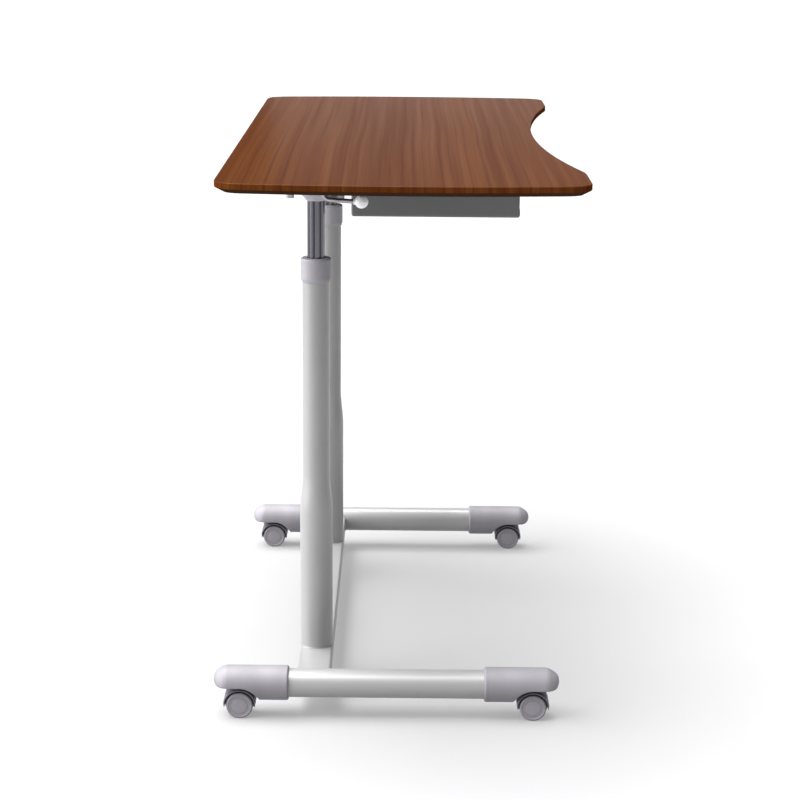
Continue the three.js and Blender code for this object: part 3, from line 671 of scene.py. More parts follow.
def grey_casting():
    """Painted die casting, a little lumpy under its paint."""
    look = Look("grey_casting", {"Metallic": 0.1})
    skin = look.noise(260, 4)
    fleck = look.noise(2400, 1)
    colour = look.ramp(skin, [(0.3, (150, 149, 156)), (0.7, (172, 171, 178))])
    colour = look.patched(colour, (140, 139, 146), fleck, 0.3, 0.7, 0.12)
    return look.finished(colour, look.range(skin, 0.3, 0.7, 0.40, 0.52), (skin, 0.18, 0.0005))


def anodised():
    """Anodised aluminium with fine drawn lines, and painted shade darkening its flutes. Its axis is the
    texture's.
    """
    look = Look("anodised", {"Metallic": 1.0})
    drawn = look.noise(2600, 2, look.stretched(1, 1, 0.004))
    tint = look.noise(240, 3, look.stretched(1, 1, 0.01))
    colour = look.ramp(tint, [(0.3, (92, 91, 97)), (0.7, (114, 113, 119))])
    # painted shade: where the surface dips into a flute, nearer the axis, the colour turns almost black
    flute_shade = look.range(look.distance(1, 1, 0), 0.0117, 0.0126, 0.9, 0.0)
    colour = look.mix(colour, (24, 24, 27), flute_shade)
    return look.finished(colour, look.range(drawn, 0.3, 0.7, 0.22, 0.32), (drawn, 0.12, 0.0001))


def steel():
    """Zinc-plated steel with fine tool marks and a faint bloom."""
    look = Look("steel", {"Metallic": 0.95})
    bloom = look.noise(90, 4)
    marks = look.noise(1800, 2, look.stretched(1, 0.25, 1))
    colour = look.ramp(bloom, [(0.3, (146, 147, 150)), (0.7, (180, 181, 183))])
    return look.finished(colour, look.range(bloom, 0.3, 0.7, 0.26, 0.42), (marks, 0.08, 0.0001))


def black_paint():
    """Black paint with an orange peel."""
    look = Look("black_paint", {})
    peel = look.noise(700, 3)
    colour = look.ramp(peel, [(0.3, (24, 24, 25)), (0.7, (36, 36, 38))])
    return look.finished(colour, look.range(peel, 0.3, 0.7, 0.3, 0.45), (peel, 0.08, 0.0003))


def dark_steel():
    """Dark grey powder coat with a sandy texture."""
    look = Look("dark_steel", {"Specular IOR Level": 0.4})
    sand = look.noise(1500, 3)
    cloud = look.noise(9, 3)
    colour = look.ramp(sand, [(0.3, (94, 95, 95)), (0.7, (112, 113, 113))])
    colour = look.patched(colour, (90, 91, 91), cloud, 0.35, 0.65, 0.25)
    return look.finished(colour, look.range(cloud, 0.3, 0.7, 0.5, 0.6), (sand, 0.22, 0.0003))


def pale_floor():
    """A matt grey floor with a faint glow of its own, which lights up its shadows."""
    look = Look("pale_floor", {
        "Specular IOR Level": 0.1,
        "Roughness": 0.8,
        "Emission Strength": 0.3,
        "Emission Color": (1, 1, 1, 1),
    })
    colour = look.ramp(look.noise(1.4, 3), [(0.3, (119, 119, 120)), (0.7, (121, 121, 122))])
    look.tree.links.new(colour, look.shader.inputs["Base Color"])
    return look.material


LOOKS = {
    "silver_paint": silver_paint(),
    "grey_plastic": moulded("grey_plastic", (115, 113, 118), (125, 123, 128), 0.56),
    "grey_casting": grey_casting(),
    "caster_plastic": moulded("caster_plastic", (80, 77, 85), (94, 91, 99), 0.5),
    "wheel_plastic": wheel_plastic(),
    "anodised": anodised(),
    "steel": steel(),
    "black_paint": black_paint(),
    "dark_steel": dark_steel(),
    "nylon": moulded("nylon", (196, 195, 188), (216, 215, 208), 0.5),
    "wood_top": wood_foil("wood_top", 0.05),
    "white_knob": moulded("white_knob", (232, 232, 234), (244, 244, 246), 0.32, 1200, 0.05),
}
# The collars' grey plastic, painted lighter than grey_plastic: painted light, standing in for the light
# that the board above keeps off them.
COLLAR_LIT_LOOK = moulded("collar_plastic_painted_lighter", (140, 138, 143), (150, 148, 153), 0.5)
SLOTS = {part["node"]: part["material_slot"] for part in frame["record"]["subparts"]}


# ---------------------------------------------------------------- pieces

def add_piece(name, surface, slot, body, origin=(0, 0, 0), crease=32):
    """A surface as a shown object with its slot's material, riding on a body."""
    mesh = mesh_of(name, surface.moved(at(-origin[0], -origin[1], -origin[2])), MILLIMETRE)
    mesh.shade_smooth()
    mesh.set_sharp_from_angle(angle=math.radians(crease))
    mesh.materials.append(LOOKS[slot])
    piece = new_object(name, mesh)
    piece.location = Vector(origin) * MILLIMETRE
    smoothing = piece.modifiers.new("flat_faces_stay_flat", "WEIGHTED_NORMAL")
    smoothing.keep_sharp = True
    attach(piece, body)
    return piece


def detailed(node, surface, **settings):
    """The finished shape of one frame node, shown in its place."""
    body = frame["nodes"][node]["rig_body"]
    piece = add_piece(f"{node}_detail", surface, SLOTS[node], body, **settings)
    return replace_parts(piece, node)


def keep_shape(node):
    """A frame node that shows as it is, with its slot's material."""
    shown = frame["nodes"][node]
    shown.data.materials.clear()
    shown.data.materials.append(LOOKS[SLOTS[node]])


def board_outline(board):
    """The board seen from above, anticlockwise: near end, hollow front edge, far end, rear edge."""
    rear, front, half = board.low.x, board.high.x, board.high.y
    corner = half - BOARD_END_BOW
    rise = 0.3 * BOARD_END_BOW
    bow_control = 2 * half - corner - rise
    radius = (HOLLOW_HALF_LENGTH ** 2 + HOLLOW_DEPTH ** 2) / (2 * HOLLOW_DEPTH)
    centre = front - HOLLOW_DEPTH + radius
    start_y = HOLLOW_HALF_LENGTH - HOLLOW_CORNER
    start_x = centre - math.sqrt(radius ** 2 - start_y ** 2)
    spread = math.asin(start_y / radius)
    rear_start = (rear, REAR_CORNER - corner)
    rear_end = (rear + REAR_CORNER, -corner - rise)
    front_start = (front - FRONT_CORNER, -corner - rise)
    front_end = (front, FRONT_CORNER - corner)
    tip = (front, -HOLLOW_HALF_LENGTH - HOLLOW_CORNER)
    near = [
        *quadratic(rear_start, (rear, -corner), rear_end, 20),
        *quadratic(rear_end, ((rear + front) / 2, -bow_control), front_start, 40),
        *quadratic(front_start, (front, -corner), front_end, 20),
        Vector(front_end),
        *quadratic(tip, (front, -HOLLOW_HALF_LENGTH), (start_x, -start_y), 12),
        *arc((centre, 0), radius, math.pi + spread, math.pi, 48),
    ]
    far = [Vector((point.x, -point.y)) for point in reversed(near[:-1])]
    return near + far


def table_top():
    board = Span("table_top")
    outline = board_outline(board)
    top, bottom = board.high.z, board.low.z
    edge = rounded([
        ((8, top), 0),
        ((0, top), 1.5),
        ((0, top - BOARD_BAND), 1.0),
        ((BOARD_BEVEL, bottom), 1.0),
        ((15, bottom), 0),
    ])
    piece = detailed("table_top", loft([lifted(inset(outline, depth), z) for depth, z in edge]))
    # The upright edge takes the same wood foil without gloss, painted 1.45 times lighter: painted light
    # on the band.
    piece.data.materials.append(wood_foil("wood_edge_painted_lighter", 0, 1.45))
    piece.data.materials.append(backing_and_bevel_shade())
    # Faces below the band, the bevel and the underside, take the backing, whose dark brown on the bevel
    # is painted shade; the other steep faces take the lighter edge wood, which is painted light.
    for face in piece.data.polygons:
        if face.center.z < (top - BOARD_BAND - 0.5) * MILLIMETRE:
            face.material_index = 2
        elif face.normal.z < 0.5:
            face.material_index = 1


def tube_profile(inner, outer, low, high, edge=0.4):
    corners = [(inner, low), (outer, low), (outer, high), (inner, high)]
    return rounded([(corner, edge) for corner in corners], closed=True, steps=3)


def foot_tube(end):
    tube = Span(f"foot_tube_{end}")
    radius = tube.size.z / 2
    profile = tube_profile(radius - FOOT_WALL, radius, tube.low.x, tube.high.x)
    surface = turned(profile, joined=True).moved(at(0, tube.middle.y, tube.middle.z) @ TO_X)
    detailed(f"foot_tube_{end}", surface)


class CapShape:
    """A foot cap's measures along from its tip: a round bullet, cut off below by a line."""

    def __init__(self, cap, wheel, tube):
        self.length = cap.size.x
        self.radius = cap.size.y / 2
        self.axis = tube.middle.z
        self.bottom = self.axis - self.radius
        self.socket = tube.size.z / 2 + FIT_GAP
        self.wheel = wheel.middle.x - cap.low.x
        self.wheel_height = wheel.middle.z
        reach = CAP_ARCH_RADIUS + CAP_ARCH_FILLET
        rise = self.bottom + CAP_ARCH_FILLET - self.wheel_height
        self.arch_angle = math.acos(rise / reach)
        self.arch_end = self.wheel + CAP_ARCH_RADIUS * math.sin(self.arch_angle)
        self.fillet_end = self.wheel + reach * math.sin(self.arch_angle)

    def underside(self, along):
        """The line that cuts the cap from below: nose fillet, flat, wheel arch and arch fillet."""
        if along < CAP_NOSE_FILLET:
            share = 1 - along / CAP_NOSE_FILLET
            return CAP_UNDERSIDE + CAP_NOSE_RISE * (1 - math.sqrt(1 - share ** 2))
        if along < self.wheel:
            return CAP_UNDERSIDE
        if along < self.arch_end:
            return self.wheel_height + math.sqrt(CAP_ARCH_RADIUS ** 2 - (along - self.wheel) ** 2)
        if along < self.fillet_end:
            back = self.fillet_end - along
            return self.bottom + CAP_ARCH_FILLET - math.sqrt(CAP_ARCH_FILLET ** 2 - back ** 2)
        return self.bottom - (along - self.fillet_end)

    def ring(self, along, radius, sides=96):
        lift = CAP_NOSE_RISE * max(1 - along / CAP_NOSE_LIFTED, 0) ** 2
        blend = 3 + 3 * max(1 - along / CAP_NOSE_LENGTH, 0)
        ring = []
        for angle in round_angles(sides):
            height = self.axis + lift + radius * math.sin(angle)
            height = smooth_max(height, self.underside(along), blend)
            ring.append(Vector((along, radius * math.cos(angle), height)))
        return ring

    def surface(self):
        rings = []
        for share in [0.004, *shares(28)[1:]]:
            angle = share * math.pi / 2
            along = CAP_NOSE_LENGTH * (1 - math.cos(angle))
            rings.append(self.ring(along, self.radius * math.sin(angle)))
        stations = spaced(CAP_NOSE_LENGTH, self.wheel, 6)
        for share in shares(34)[1:]:
            stations.append(self.wheel + CAP_ARCH_RADIUS * math.sin(share * self.arch_angle))
        stations.extend(spaced(self.arch_end, self.fillet_end, 6))
        stations.extend(spaced(self.fillet_end, self.fillet_end + 4, 4))
        rings.extend(self.ring(along, self.radius) for along in stations)
        for angle in quarter_angles(5):
            along = self.length - CAP_RIM * (1 - math.sin(angle))
            rings.append(self.ring(along, self.radius - CAP_RIM * (1 - math.cos(angle))))
        chamfer = 0.6
        rings.append(self.ring(self.length, self.socket + chamfer))
        rings.append(self.ring(self.length - chamfer, self.socket))
        rings.append(self.ring(self.length - CAP_SOCKET_DEPTH, self.socket))
        return loft(rings)


def foot_caps():
    rear_cap = Span("foot_cap_near_rear")
    wheel = Span("caster_near_rear_wheel_left")
    shape = CapShape(rear_cap, wheel, Span("foot_tube_near"))
    stem = Span("caster_near_rear_stem")
    from_tip = stem.middle.x - rear_cap.low.x
    bore = stem.size.x / 2 + FIT_GAP
    chamfer = 1.6
    hole = turned([
        (bore + chamfer, CAP_UNDERSIDE - 10),
        (bore + chamfer, CAP_UNDERSIDE),
        (bore, CAP_UNDERSIDE + chamfer),
        (bore, stem.high.z + 1),
    ], 40)
    surface = carved(shape.surface(), [hole.moved(at(from_tip, 0, 0))])
    for end in ENDS:
        for side in SIDES:
            cap = Span(f"foot_cap_{end}_{side}")
            if side == "rear":
                place = at(cap.low.x, cap.middle.y, 0)
            else:
                place = at(cap.high.x, cap.middle.y, 0) @ Matrix.Rotation(math.pi, 4, "Z")
            detailed(f"foot_cap_{end}_{side}", surface.moved(place))


def caster_hood(axle):
    """The band over both wheels. It thins out towards its two ends."""
    drop = math.asin(HOOD_END_DROP / HOOD_INNER)
    sweep = math.pi + 2 * drop
    thin = 0.35                    # the share of the thickness that is left at the ends
    fade = 0.35                    # radians from each end to the full thickness
    rings = []
    for share in shares(60):
        angle = share * sweep - drop
        from_end = min(share, 1 - share) * sweep
        thickness = (HOOD_OUTER - HOOD_INNER) * (thin + (1 - thin) * smooth_step(from_end / fade))
        low = (HOOD_INNER, -HOOD_HALF_WIDTH)
        high = (HOOD_INNER + thickness, HOOD_HALF_WIDTH)
        ring = []
        for radius, across in rounded_rectangle(low, high, thickness * 0.35, steps=3):
            ring.append(axle + Vector((radius * math.cos(angle), across, radius * math.sin(angle))))
        rings.append(ring)
    return loft(rings)


def caster_boss():
    """The boss round the stem, spreading downwards into the hood's outer end."""
    rings = []
    for share in shares(24):
        spread = smooth_step((share - 0.1) / 0.85)
        trim = 0.8 if share == 0 else 0
        inboard = BOSS_RADIUS - trim
        outboard = inboard + BOSS_SPREAD_OUT * spread
        half_width = inboard + BOSS_SPREAD_SIDE * spread
        height = BOSS_TOP - share * (BOSS_TOP - BOSS_BOTTOM)
        ring = []
        for angle in round_angles(64):
            reach = inboard if math.cos(angle) > 0 else outboard
            ring.append(Vector((reach * math.cos(angle), half_width * math.sin(angle), height)))
        rings.append(ring)
    return loft(rings)


def caster_body(trail, wheel_height):
    """Hood, web, boss and neck in one, with the swivel axis at the origin and the wheels at +X."""
    axle = Vector((trail, 0, wheel_height))
    inside = cylinder(HOOD_INNER + 0.5, -40, 40, 120)
    boss = carved(caster_boss(), [inside.moved(at(*axle) @ TO_Y)])
    web_radius = HOOD_INNER + 0.3
    drop = math.asin(WEB_DROP / web_radius)
    outline = arc((trail, wheel_height), web_radius, -drop, math.pi + drop, 60)
    web = prism(outline, -WEB_HALF_THICKNESS, WEB_HALF_THICKNESS, 0.4).moved(UPRIGHT)
    neck = cylinder(NECK_RADIUS, 22, BOSS_TOP - 3, 64)
    return carved(caster_hood(axle), [web, neck, boss], "UNION")


def caster_wheel(radius, outer):
    """A wheel drawn outwards along +Z: a cup behind, a raised rim and a domed hub cover in front."""
    blind = outer - 1.6
    back = outer - 3
    hub_end = 3
    rim = radius - TREAD_HEIGHT
    face = outer - 0.6
    cover = HUB_COVER_RADIUS
    profile = rounded([
        ((0.2, blind), 0),
        ((AXLE_BORE, blind), 0),
        ((AXLE_BORE, hub_end), 0.3),
        ((HUB_RADIUS, hub_end), 0.3),
        ((HUB_RADIUS, back), 0.6),
        ((rim, back), 1),
        ((rim, WHEEL_RIM_INNER), 0.4),
        ((radius, WHEEL_RIM_INNER), 1.2),
        ((radius, outer), 2.4),
        ((rim + 0.6, outer), 0.4),
        ((rim, face), 0.4),
        ((cover + 0.4, face), 0.3),
        ((cover + 0.2, face - 0.25), 0.1),
        ((cover - 0.2, face - 0.25), 0.1),
        ((cover - 0.5, outer - 0.35), 0.4),
        ((cover / 2, outer - 0.05), 8),
        ((0.2, outer), 0),
    ])
    return turned(profile)


def casters():
    stem = Span("caster_near_rear_stem").middle
    wheel = Span("caster_near_rear_wheel_left")
    body = caster_body(wheel.middle.x - stem.x, wheel.middle.z)
    shape = caster_wheel(wheel.size.z / 2, wheel.high.y - stem.y)
    outwards = {"left": TO_Y, "right": UPRIGHT}
    for end in ENDS:
        for side in SIDES:
            name = f"caster_{end}_{side}"
            stem = Span(f"{name}_stem").middle
            turn = Matrix.Rotation(0 if side == "rear" else math.pi, 4, "Z")
            detailed(f"{name}_body", body.moved(at(stem.x, stem.y, 0) @ turn))
            keep_shape(f"{name}_stem")
            keep_shape(f"{name}_axle")
            for hand in ("left", "right"):
                wheel = Span(f"{name}_wheel_{hand}")
                centre = (wheel.middle.x, stem.y, wheel.middle.z)
                turned_out = shape.moved(at(*centre) @ outwards[hand])
                detailed(f"{name}_wheel_{hand}", turned_out, origin=centre)


def weld_bead(name, path, radius):
    """A painted fillet weld, with the ripples that a weld leaves."""
    radii = [radius * (1 + 0.14 * math.sin(index * 1.9)) for index in range(len(path))]
    add_piece(name, swept(path, radii, 12, joined=True), "silver_paint", "base", crease=60)


def crossbar():
    bar = Span("crossbar")
    tube = Span("foot_tube_far")
    cope_radius = tube.size.z / 2 + FIT_GAP

    def ring(outline, sign):
        points = []
        for x, z in outline:
            cope = math.sqrt(max(cope_radius ** 2 - (z - tube.middle.z) ** 2, 0))
            y = min(tube.middle.y - cope, bar.high.y)
            points.append(Vector((x, sign * y, z)))
        return points

    low = (bar.low.x, bar.low.z)
    high = (bar.high.x, bar.high.z)
    outer = divided(rounded_rectangle(low, high, CROSSBAR_EDGE), 2)
    inner = inset(outer, CROSSBAR_WALL)
    rings = [ring(outer, -1), ring(outer, 1), ring(inner, 1), ring(inner, -1)]
    detailed("crossbar", loft(rings, joined=True))
    for end, sign in (("near", -1), ("far", 1)):
        weld_bead(f"foot_weld_{end}", ring(outer, sign), 1.3)


def column(end):
    """The silver outer tube: wide below, and drawn in over a smooth flare."""
    tube = Span(f"column_outer_{end}")
    lower = tube.size.x / 2
    drawn_in = lower - COLUMN_UPPER_RADIUS
    outside = [(lower, tube.low.z), (lower, FLARE_BOTTOM - FLARE_MARGIN)]
    for share in shares(24):
        height = FLARE_BOTTOM + share * (FLARE_TOP - FLARE_BOTTOM)
        outside.append((lower - drawn_in * (1 - math.cos(math.pi * share)) / 2, height))
    outside.append((COLUMN_UPPER_RADIUS, FLARE_TOP + FLARE_MARGIN))
    outside.append((COLUMN_UPPER_RADIUS, tube.high.z))
    inside = [(radius - COLUMN_WALL, height) for radius, height in reversed(outside)]
    surface = turned(outside + inside, joined=True)
    detailed(f"column_outer_{end}", surface.moved(tube.upright()))
    bead = [tube.upright() @ polar(lower, angle, tube.low.z) for angle in round_angles(180)]
    weld_bead(f"column_weld_{end}", bead, 0.8)


def fluted(radius, angle):
    """Radii near the inner tube's dip into its flutes. Others stay as they are."""
    if not INNER_TUBE_BORE < radius < INNER_TUBE_BORE + 4:
        return radius
    share = (1 - math.cos(FLUTE_COUNT * (angle - FLUTE_TURN))) / 2
    return radius - FLUTE_DEPTH * share ** 2


def inner_tube(end):
    tube = Span(f"inner_tube_{end}")
    radius = tube.size.y / 2
    profile = tube_profile(INNER_TUBE_BORE, radius, tube.low.z, tube.high.z, 0.3)
    surface = turned(profile, 160, joined=True, wave=fluted).moved(tube.upright())
    detailed(f"inner_tube_{end}", surface, origin=(tube.middle.x, tube.middle.y, tube.low.z))


def collar(end):
    """The moulded collar on the column's top, with a screw that faces the other column."""
    span = Span(f"collar_{end}")
    screw = Span(f"collar_screw_{end}")
    radius = span.size.y / 2
    tube_top = Span(f"column_outer_{end}").high.z + FIT_GAP
    hole = Span(f"inner_tube_{end}").size.y / 2 + COLLAR_CLEARANCE
    skirt = COLUMN_UPPER_RADIUS + FIT_GAP
    profile = rounded([
        ((skirt, span.low.z), 0.3),
        ((radius - 1.4, span.low.z), 0.5),
        ((radius, span.low.z + 5), 6),
        ((radius, span.high.z), 3),
        ((hole + 0.7, span.high.z), 0.3),
        ((hole, span.high.z - 0.7), 0.3),
        ((hole, tube_top), 0),
        ((skirt, tube_top), 0),
    ], closed=True)
    axis = Vector((span.middle.x, span.middle.y, screw.middle.z))
    outwards = screw.middle - axis
    facing = at(*axis) @ outwards.to_track_quat("Z", "X").to_matrix().to_4x4()
    start = radius - 4
    recess = turned([
        (COLLAR_RECESS, start),
        (COLLAR_RECESS, radius - 0.7),
        (COLLAR_RECESS_MOUTH, radius + 0.4),
        (COLLAR_RECESS_MOUTH, radius + 4),
    ], 40)
    surface = turned(profile, 160, joined=True, wave=fluted).moved(span.upright())
    piece = detailed(f"collar_{end}", carved(surface, [recess.moved(facing)]))
    # painted light: the collar takes the lighter copy of its grey plastic
    piece.data.materials[0] = COLLAR_LIT_LOOK
    set_screw = turned([
        (COLLAR_SCREW - 0.6, start + 0.3),
        (COLLAR_SCREW, start + 0.9),
        (COLLAR_SCREW, radius - 1.4),
        (COLLAR_SCREW - 0.4, radius - 1),
    ], 40)
    socket = hex_socket(COLLAR_SCREW_KEY, radius - 3, radius)
    detailed(f"collar_screw_{end}", carved(set_screw, [socket]).moved(facing))


def base_nut(end):
    nut = Span(f"base_nut_{end}")
    surface = hex_nut(nut.size.y, nut.low.z, nut.high.z, bore=4.3)
    detailed(f"base_nut_{end}", surface.moved(nut.upright()))


def flange(end):
    """The cast flange: a hollow cone for the inner tube under a plate, with its four bolts."""
    span = Span(f"flange_{end}")
    tube = Span(f"inner_tube_{end}")
    socket = tube.size.y / 2 + FIT_GAP
    plate_low = span.high.z - FLANGE_PLATE
    half = span.size / 2
    outline = rounded_rectangle((-half.x, -half.y), (half.x, half.y), FLANGE_CORNER, 8)
    plate = prism(outline, plate_low, span.high.z, 0.9)
    mouth = socket + 1.8
    chamfer = 0.6
    start = span.low.z + chamfer
    cone = [(socket - 1, span.low.z), (mouth - chamfer, span.low.z), (mouth, start)]
    for share in shares(14)[1:]:
        height = start + share * (plate_low + 0.4 - span.low.z)
        cone.append((mouth + FLANGE_CONE_SPREAD * share ** 1.3, height))
    bore = turned([
        (socket, span.low.z - 5),
        (socket, tube.high.z + FIT_GAP),
        (ROD_HOLE, tube.high.z + FIT_GAP),
        (ROD_HOLE, span.high.z + 5),
    ], 80)
    surface = carved(carved(plate, [turned(cone)], "UNION"), [bore])
    detailed(f"flange_{end}", surface.moved(span.upright()))
    corners = [at(x, y, 0) for x in (-BOLT_X, BOLT_X) for y in (-BOLT_Y, BOLT_Y)]
    bolts = flange_bolt(plate_low, span.high.z + FIT_GAP + ARM_SHEET).repeated(corners)
    add_piece(f"flange_bolts_{end}", bolts.moved(span.upright()), "steel", "lifting_frame")


def flange_bolt(plate_low, nut_low):
    """A bolt with its head and washer under the flange's plate, and its nut on top of the arm."""
    head_high = plate_low - WASHER_THICKNESS
    hidden_radius = BOLT_RADIUS - 1
    hidden_start = plate_low - 2
    bolt_end = nut_low + BOLT_END
    washer = tube_profile(hidden_radius, WASHER_RADIUS, head_high, plate_low, 0.25)
    stud = turned(rounded([
        ((hidden_radius, hidden_start), 0),
        ((BOLT_RADIUS, hidden_start), 0),
        ((BOLT_RADIUS, bolt_end), 0.8),
        ((0.5, bolt_end), 0),
    ]), 32)
    head = hex_nut(BOLT_ACROSS, head_high - BOLT_HEAD, head_high)
    nut = hex_nut(BOLT_ACROSS, nut_low, nut_low + BOLT_NUT, bore=BOLT_RADIUS - 0.1)
    return head + turned(washer, 48, joined=True) + stud + nut


def wood_screws(name, places):
    """Pan-head screws up into the board. Each place is on the sheet that the head bears on."""
    head = turned(rounded([
        ((2, 0), 0),
        ((SCREW_HEAD, 0), 0.3),
        ((SCREW_HEAD, -1.4), 1.2),
        ((1.5, -2.5), 6),
        ((0.3, -2.6), 0),
    ]), 40)
    slots = []
    for x, y in ((SCREW_CROSS, SCREW_SLOT), (SCREW_SLOT, SCREW_CROSS)):
        slots.append(rounded_box((-x, -y, -4), (x, y, -1.2), 0.1))
    screw = carved(head, slots)
    add_piece(name, screw.repeated([at(*place) for place in places]), "steel", "lifting_frame")


def support_arm(end):
    """A folded hat section. Its walls slope up at both ends, and the shaft runs through them."""
    arm = Span(f"support_arm_{end}")
    shaft = shaft_axis()
    half = ARM_SHEET / 2
    wall = ARM_HALF_WIDTH - half
    lip = arm.size.y / 2
    margin = 5
    slope_top = arm.high.z - ARM_SHEET - margin
    run = ARM_SLOPE + margin

    def slope(height):
        share = (height - arm.low.z) / (slope_top - arm.low.z)
        return min(max(ARM_SLOPE - run * share, 0), ARM_SLOPE)

    low, high = arm.low.z + half, arm.high.z - half
    kink = arm.low.z + (slope_top - arm.low.z) * ARM_SLOPE / run
    bend = ARM_BEND + half
    one_side = [((lip, high), 0), ((wall, high), bend), ((wall, kink), 0), ((wall, low), bend)]
    other_side = [((-y, z), radius) for (y, z), radius in reversed(one_side)]
    sheet = folded_sheet(
        rounded(one_side + other_side),
        ARM_SHEET,
        lambda height: arm.low.x + slope(height),
        lambda height: arm.high.x - slope(height),
    ).moved(at(0, arm.middle.y, 0))
    rod_hole = cylinder(ROD_HOLE, arm.low.z - 5, arm.low.z + 10)
    shaft_hole = cylinder(SHAFT_HOLE, -40, 40)
    detailed(f"support_arm_{end}", carved(sheet, [
        rod_hole.moved(Span(f"flange_{end}").upright()),
        shaft_hole.moved(at(shaft.x, arm.middle.y, shaft.z) @ TO_Y),
    ]))
    places = []
    aside = (lip + ARM_HALF_WIDTH) / 2
    for x in (arm.low.x + 22, arm.middle.x - 58, arm.middle.x + 70, arm.high.x - 20):
        for sign in (-1, 1):
            places.append((x, arm.middle.y + sign * aside, arm.high.z - ARM_SHEET))
    wood_screws(f"arm_screws_{end}", places)


def cross_rail():
    rail = Span("cross_rail")
    outer = rounded_rectangle((rail.low.x, rail.low.z), (rail.high.x, rail.high.z), 2.5)
    inner = inset(outer, RAIL_WALL)
    near, far = rail.low.y, rail.high.y
    rings = []
    for outline, y in ((outer, near), (outer, far), (inner, far), (inner, near)):
        rings.append([Vector((point.x, y, point.y)) for point in outline])
    detailed("cross_rail", loft(rings, joined=True))


def storage_tray():
    """A folded sheet tray: open towards the user, with a low stop there and lips under the board."""
    tray = Span("storage_tray")
    outer = rounded_box(tray.low, tray.high, TRAY_BEND + TRAY_SHEET)
    thickness = Vector((TRAY_SHEET, TRAY_SHEET, TRAY_SHEET))
    cavity = rounded_box(tray.low + thickness, tray.high - thickness, TRAY_BEND)
    lip = TRAY_SHEET + TRAY_LIP
    opening_low = (tray.low.x + lip, tray.low.y + lip)
    opening_high = (tray.high.x + 40, tray.high.y - lip)
    opening = rounded_rectangle(opening_low, opening_high, 8)
    opening = prism(opening, tray.high.z - 10, tray.high.z + 10, 0.1)
    mouth_low = (tray.low.y + TRAY_SHEET, tray.low.z + TRAY_STOP)
    mouth_high = (tray.high.y - TRAY_SHEET, tray.high.z - TRAY_SHEET)
    mouth = prism(rounded_rectangle(mouth_low, mouth_high, TRAY_BEND), -10, 10, 0.1)
    # turns a plan in Y and Z to face +X, at the tray's open side
    facing_x = Matrix(((0, 0, 1, tray.high.x), (1, 0, 0, 0), (0, 1, 0, 0), (0, 0, 0, 1)))
    detailed("storage_tray", carved(outer, [cavity, opening, mouth.moved(facing_x)]))
    places = []
    height = tray.high.z - TRAY_SHEET
    for x in (tray.low.x + 60, tray.high.x - 50):
        for sign in (-1, 1):
            places.append((x, sign * (tray.high.y - lip / 2), height))
    for y in (-90, 90):
        places.append((tray.low.x + lip / 2, y, height))
    wood_screws("tray_screws", places)


def shaft_axis():
    """A point on the release shaft's axis, from the joint that it turns on."""
    for joint in frame["joints"]:
        if joint["name"] == "release_lever_turn":
            return Vector(joint["pos_m"]) / MILLIMETRE


def release_shaft():
    """The steel shaft with a press finger over each release pin, bent at its near end to a handle."""
    shaft = Span("release_shaft")
    axis = shaft_axis()
    knob = Span("ball_knob")
    handle_y = knob.middle.y
    step_y = handle_y + 12         # where the shaft is turned down to the handle's radius
    low = knob.middle.z + HANDLE_SLOPE
    corners = [
        ((axis.x, shaft.high.y, axis.z), 0),
        ((axis.x, step_y + 0.4, axis.z), 0),
        ((axis.x, step_y, axis.z), 0),
        ((axis.x, handle_y, axis.z), HANDLE_BEND),
        ((axis.x, handle_y, low), HANDLE_BEND),
        ((knob.low.x + 4, handle_y, knob.middle.z), 0),
    ]
    path = rounded(corners, steps=10)
    radii = [SHAFT_RADIUS, SHAFT_RADIUS] + [HANDLE_RADIUS] * (len(path) - 2)
    rod = swept(path, radii, 40)
    fingers = []
    for end in ENDS:
        nose = Span(f"release_pin_{end}").middle
        reach = axis.x - nose.x
        hub = FINGER_NOSE + 2
        tangent = math.acos((hub - FINGER_NOSE) / reach)
        top = math.pi - tangent
        outline = arc((axis.x, axis.z), hub, -top, top, 20)
        outline.extend(arc((nose.x, axis.z), FINGER_NOSE, top, 2 * math.pi - top, 20))
        half = FINGER_WIDTH / 2
        fingers.append(prism(outline, -nose.y - half, -nose.y + half, 0.5).moved(UPRIGHT))
    detailed("release_shaft", carved(rod, fingers, "UNION"))


def shaft_bushes():
    """Flanged bushes that the shaft turns in, one in each arm wall, and a clip on its far end."""
    axis = shaft_axis()
    profile = rounded([
        ((BUSH_BORE, -BUSH_LENGTH), 0.2),
        ((BUSH_RADIUS, -BUSH_LENGTH), 0.2),
        ((BUSH_RADIUS, 0), 0),
        ((BUSH_RIM, 0), 0.2),
        ((BUSH_RIM, BUSH_RIM_THICKNESS), 0.4),
        ((BUSH_BORE, BUSH_RIM_THICKNESS), 0.3),
    ], closed=True)
    bush = turned(profile, 48, joined=True)
    away = {-1: UPRIGHT, 1: TO_Y}
    bushes = Surface([], [])
    for end in ENDS:
        middle = Span(f"support_arm_{end}").middle.y
        faces = [(middle - ARM_HALF_WIDTH, -1), (middle + ARM_HALF_WIDTH, 1)]
        for face, direction in faces:
            if end == "near" and direction < 0:
                face = Span("lever_bracket").low.y
            bushes = bushes + bush.moved(at(axis.x, face, axis.z) @ away[direction])
    add_piece("shaft_bushes", bushes, "nylon", "lifting_frame")
    clip_y = Span("support_arm_far").middle.y + ARM_HALF_WIDTH + BUSH_RIM_THICKNESS + 0.5
    ring = turned(tube_profile(3.3, 6, 0, 1, 0.2), 48, joined=True)
    add_piece("shaft_clip", ring.moved(at(axis.x, clip_y, axis.z) @ TO_Y), "steel", "release_lever")


